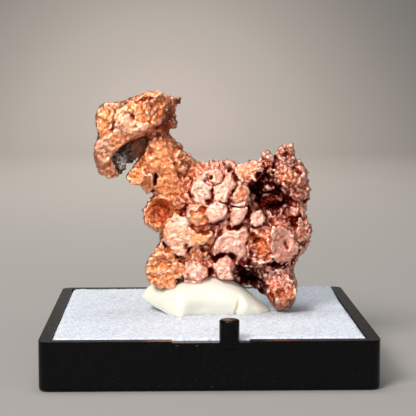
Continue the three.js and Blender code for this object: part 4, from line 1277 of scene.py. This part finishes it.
def hacklyRise(points, flat, settings):
    # flakes at two sizes, thorns, facets, and soft creases where the surface is calmer
    calm, wild, flaky = (spots(points, entries) for entries in (calmSpots, wildSpots, flakySpots))
    rough = (1 - 0.9 * calm) * (1 + 0.5 * wild)
    halfRough = (1 - 0.75 * calm + 0.3 * flaky) * (1 + 0.5 * wild)
    warp = np.stack([waves(points, 1.6, seed, 2) for seed in (21, 22, 23)], 1) * 0.35
    bigSize, *bigShape = settings["bigFlake"]
    smallSize, *smallShape = settings["smallFlake"]
    facetSize, *facetShape = settings["facet"]
    big = cells(points + warp, bigSize, 31)
    small = cells(points + warp, smallSize, 32)
    facet = cells(points + 0.6 * warp, facetSize, 36)
    wrinkle = 1 - np.abs(waves(points * np.array([1, 1, 1.4]), 0.9, 24, 3)) * 2.2
    rise = rough * flakes(big, *bigShape)
    rise += halfRough * flakes(small, *smallShape)
    rise += settings["thorn"] * wild * smoothStep(0.5 - small["near"], 0.0, 0.5) ** 2 * (small["shade"] > 0.7)
    rise += flaky * flakes(facet, *facetShape) + 0.04 * calm * facet["tilt"]
    rise += settings["wrinkle"] * (1 - 0.8 * calm) * np.clip(wrinkle, -1, 1)
    rise += 0.1 * calm * waves(points, 1.5, 35, 1)
    rise += settings["grain"] * (1 - 0.75 * calm) * waves(points, 0.34, 25, 2)
    return rise * (1 - 0.5 * flat), calm


def dentOf(points, normals, edges):
    # above 0 in dents and below 0 on convex edges, from a narrow and a wide look around; the colour paints
    # shade into the dents and highlights onto the edges
    amount = 0
    for rounds, scale, share in ((3, 0.035, 0.55), (14, 0.12, 0.6)):
        amount = amount + share * (((spread(points, edges, rounds, 0.6) - points) * normals).sum(1) / scale)
    return np.clip(amount, -1, 1)


def nativeCopper(settings):
    # native copper: bare metal with a satin skin, slightly oxidised in random stains; highlights are painted
    # onto its convex edges, pale spots and flecks, and shade into its cracks, dents and closed-in places
    material, tree, bsdf, place = newMaterial("native copper", {"Metallic": 1.0, "Roughness": 0.4})
    patterns = {
        "stain": {"Scale": 1800.0, "Detail": 6.0, "Roughness": 0.65},
        "fleck": {"Scale": 3000.0, "Detail": 3.0, "Roughness": 0.6},
        "ridge": {"noise_type": "RIDGED_MULTIFRACTAL", "Scale": 1500.0, "Detail": 4.0, "Roughness": 0.6,
                  "Lacunarity": 2.2, "Offset": 1.0, "Gain": 2.0, "Distortion": 0.3},
    }
    source = {}
    for name, pattern in patterns.items():
        source[name] = addNode(tree, "TexNoise", pattern, {"Vector": place}).outputs["Fac"]
    for name in ("gold", "pale", "brown", "ash", "dent", "seam", "sky", "calm"):
        source[name] = addNode(tree, "Attribute", {"attribute_name": name}).outputs["Fac"]
    tints = {}
    for name, (onPink, onGold) in settings["tints"].items():
        shades = {"data_type": "RGBA", 6: linear(settings[onPink]), 7: linear(settings[onGold])}
        tints[name] = addNode(tree, "Mix", shades, {0: source["gold"]}).outputs[2]
    colour = tints["bare"]
    for driver, start, full, most, tint in settings["layers"]:
        span = {"From Min": start, "From Max": full, "To Max": most}
        links = {0: addNode(tree, "MapRange", span, {"Value": source[driver]}).outputs[0], 6: colour}
        shades = {"data_type": "RGBA"}
        if tint in tints:
            links[7] = tints[tint]
        else:
            shades[7] = linear(settings[tint])
        colour = addNode(tree, "Mix", shades, links).outputs[2]
    tree.links.new(colour, bsdf.inputs["Base Color"])
    satin = {"From Min": 0.3, "From Max": 0.7, "To Min": 0.27, "To Max": 0.43}
    rough = addNode(tree, "MapRange", satin, {"Value": source["fleck"]})
    tree.links.new(rough.outputs[0], bsdf.inputs["Roughness"])
    softer = addNode(tree, "MapRange", {"To Min": 0.9, "To Max": 0.6}, {"Value": source["calm"]})
    coarse = addNode(
        tree, "Bump", {"Distance": 0.00022}, {"Height": source["stain"], "Strength": softer.outputs[0]},
    )
    ridged = addNode(
        tree, "Bump", {"Strength": 0.7, "Distance": 0.00004},
        {"Height": source["ridge"], "Normal": coarse.outputs[0]},
    )
    fine = addNode(
        tree, "Bump", {"Strength": 0.8, "Distance": 0.00008},
        {"Height": source["fleck"], "Normal": ridged.outputs[0]},
    )
    tree.links.new(fine.outputs[0], bsdf.inputs["Normal"])
    return material


def makeNugget(settings):
    mesh, planes = platedSkin(settings)
    print("nugget skin", len(mesh.polygons))
    edges = getEdges(mesh)
    points = spread(getPoints(mesh), edges, 1, 0.45)
    setPoints(mesh, points)
    flat = flattenPlates(points, planes, settings)
    setPoints(mesh, points)
    seam = pressCracks(mesh, points, settings)
    points = spread(points, edges, 1, 0.3)
    setPoints(mesh, points)
    rise, calm = hacklyRise(points, spread(flat, edges, 1, 0.5), settings)
    points = points + getNormals(mesh) * rise[:, None]
    setPoints(mesh, points)
    points = spread(points, edges, 1, 0.15)
    setPoints(mesh, points)
    print("nugget surface worked")
    # painted shade: the less sky a point sees, the more deep red it is coloured
    sky = openness(mesh, settings["rays"], settings["reach"], 51)
    drift = 0.5 + 0.5 * waves(points, 1.7, 26, 3)
    masks = {
        "dent": dentOf(points, getNormals(mesh), edges), "sky": spread(sky, edges, 1, 0.5),
        "gold": np.clip(spots(points, goldSpots) + 0.12 + 0.5 * (drift - 0.5), 0, 1),
        # painted highlights on the pale spots
        "pale": np.clip(spots(points, paintedHighlightSpots) * (0.75 + 0.5 * drift), 0, 1),
        # brown spots, partly painted shade
        "brown": np.clip(spots(points, brownAndShadeSpots) * (0.6 + 0.8 * drift), 0, 1),
        "ash": spots(points, ashSpots), "calm": calm, "seam": seam,
    }
    for name, values in masks.items():
        setAttribute(mesh, name, values)
    mesh.transform(Matrix.Scale(mm, 4))
    finishPiece("nugget", mesh, nativeCopper(settings), "copper_nugget")


makeNugget(nuggetSettings)
print("nugget made")
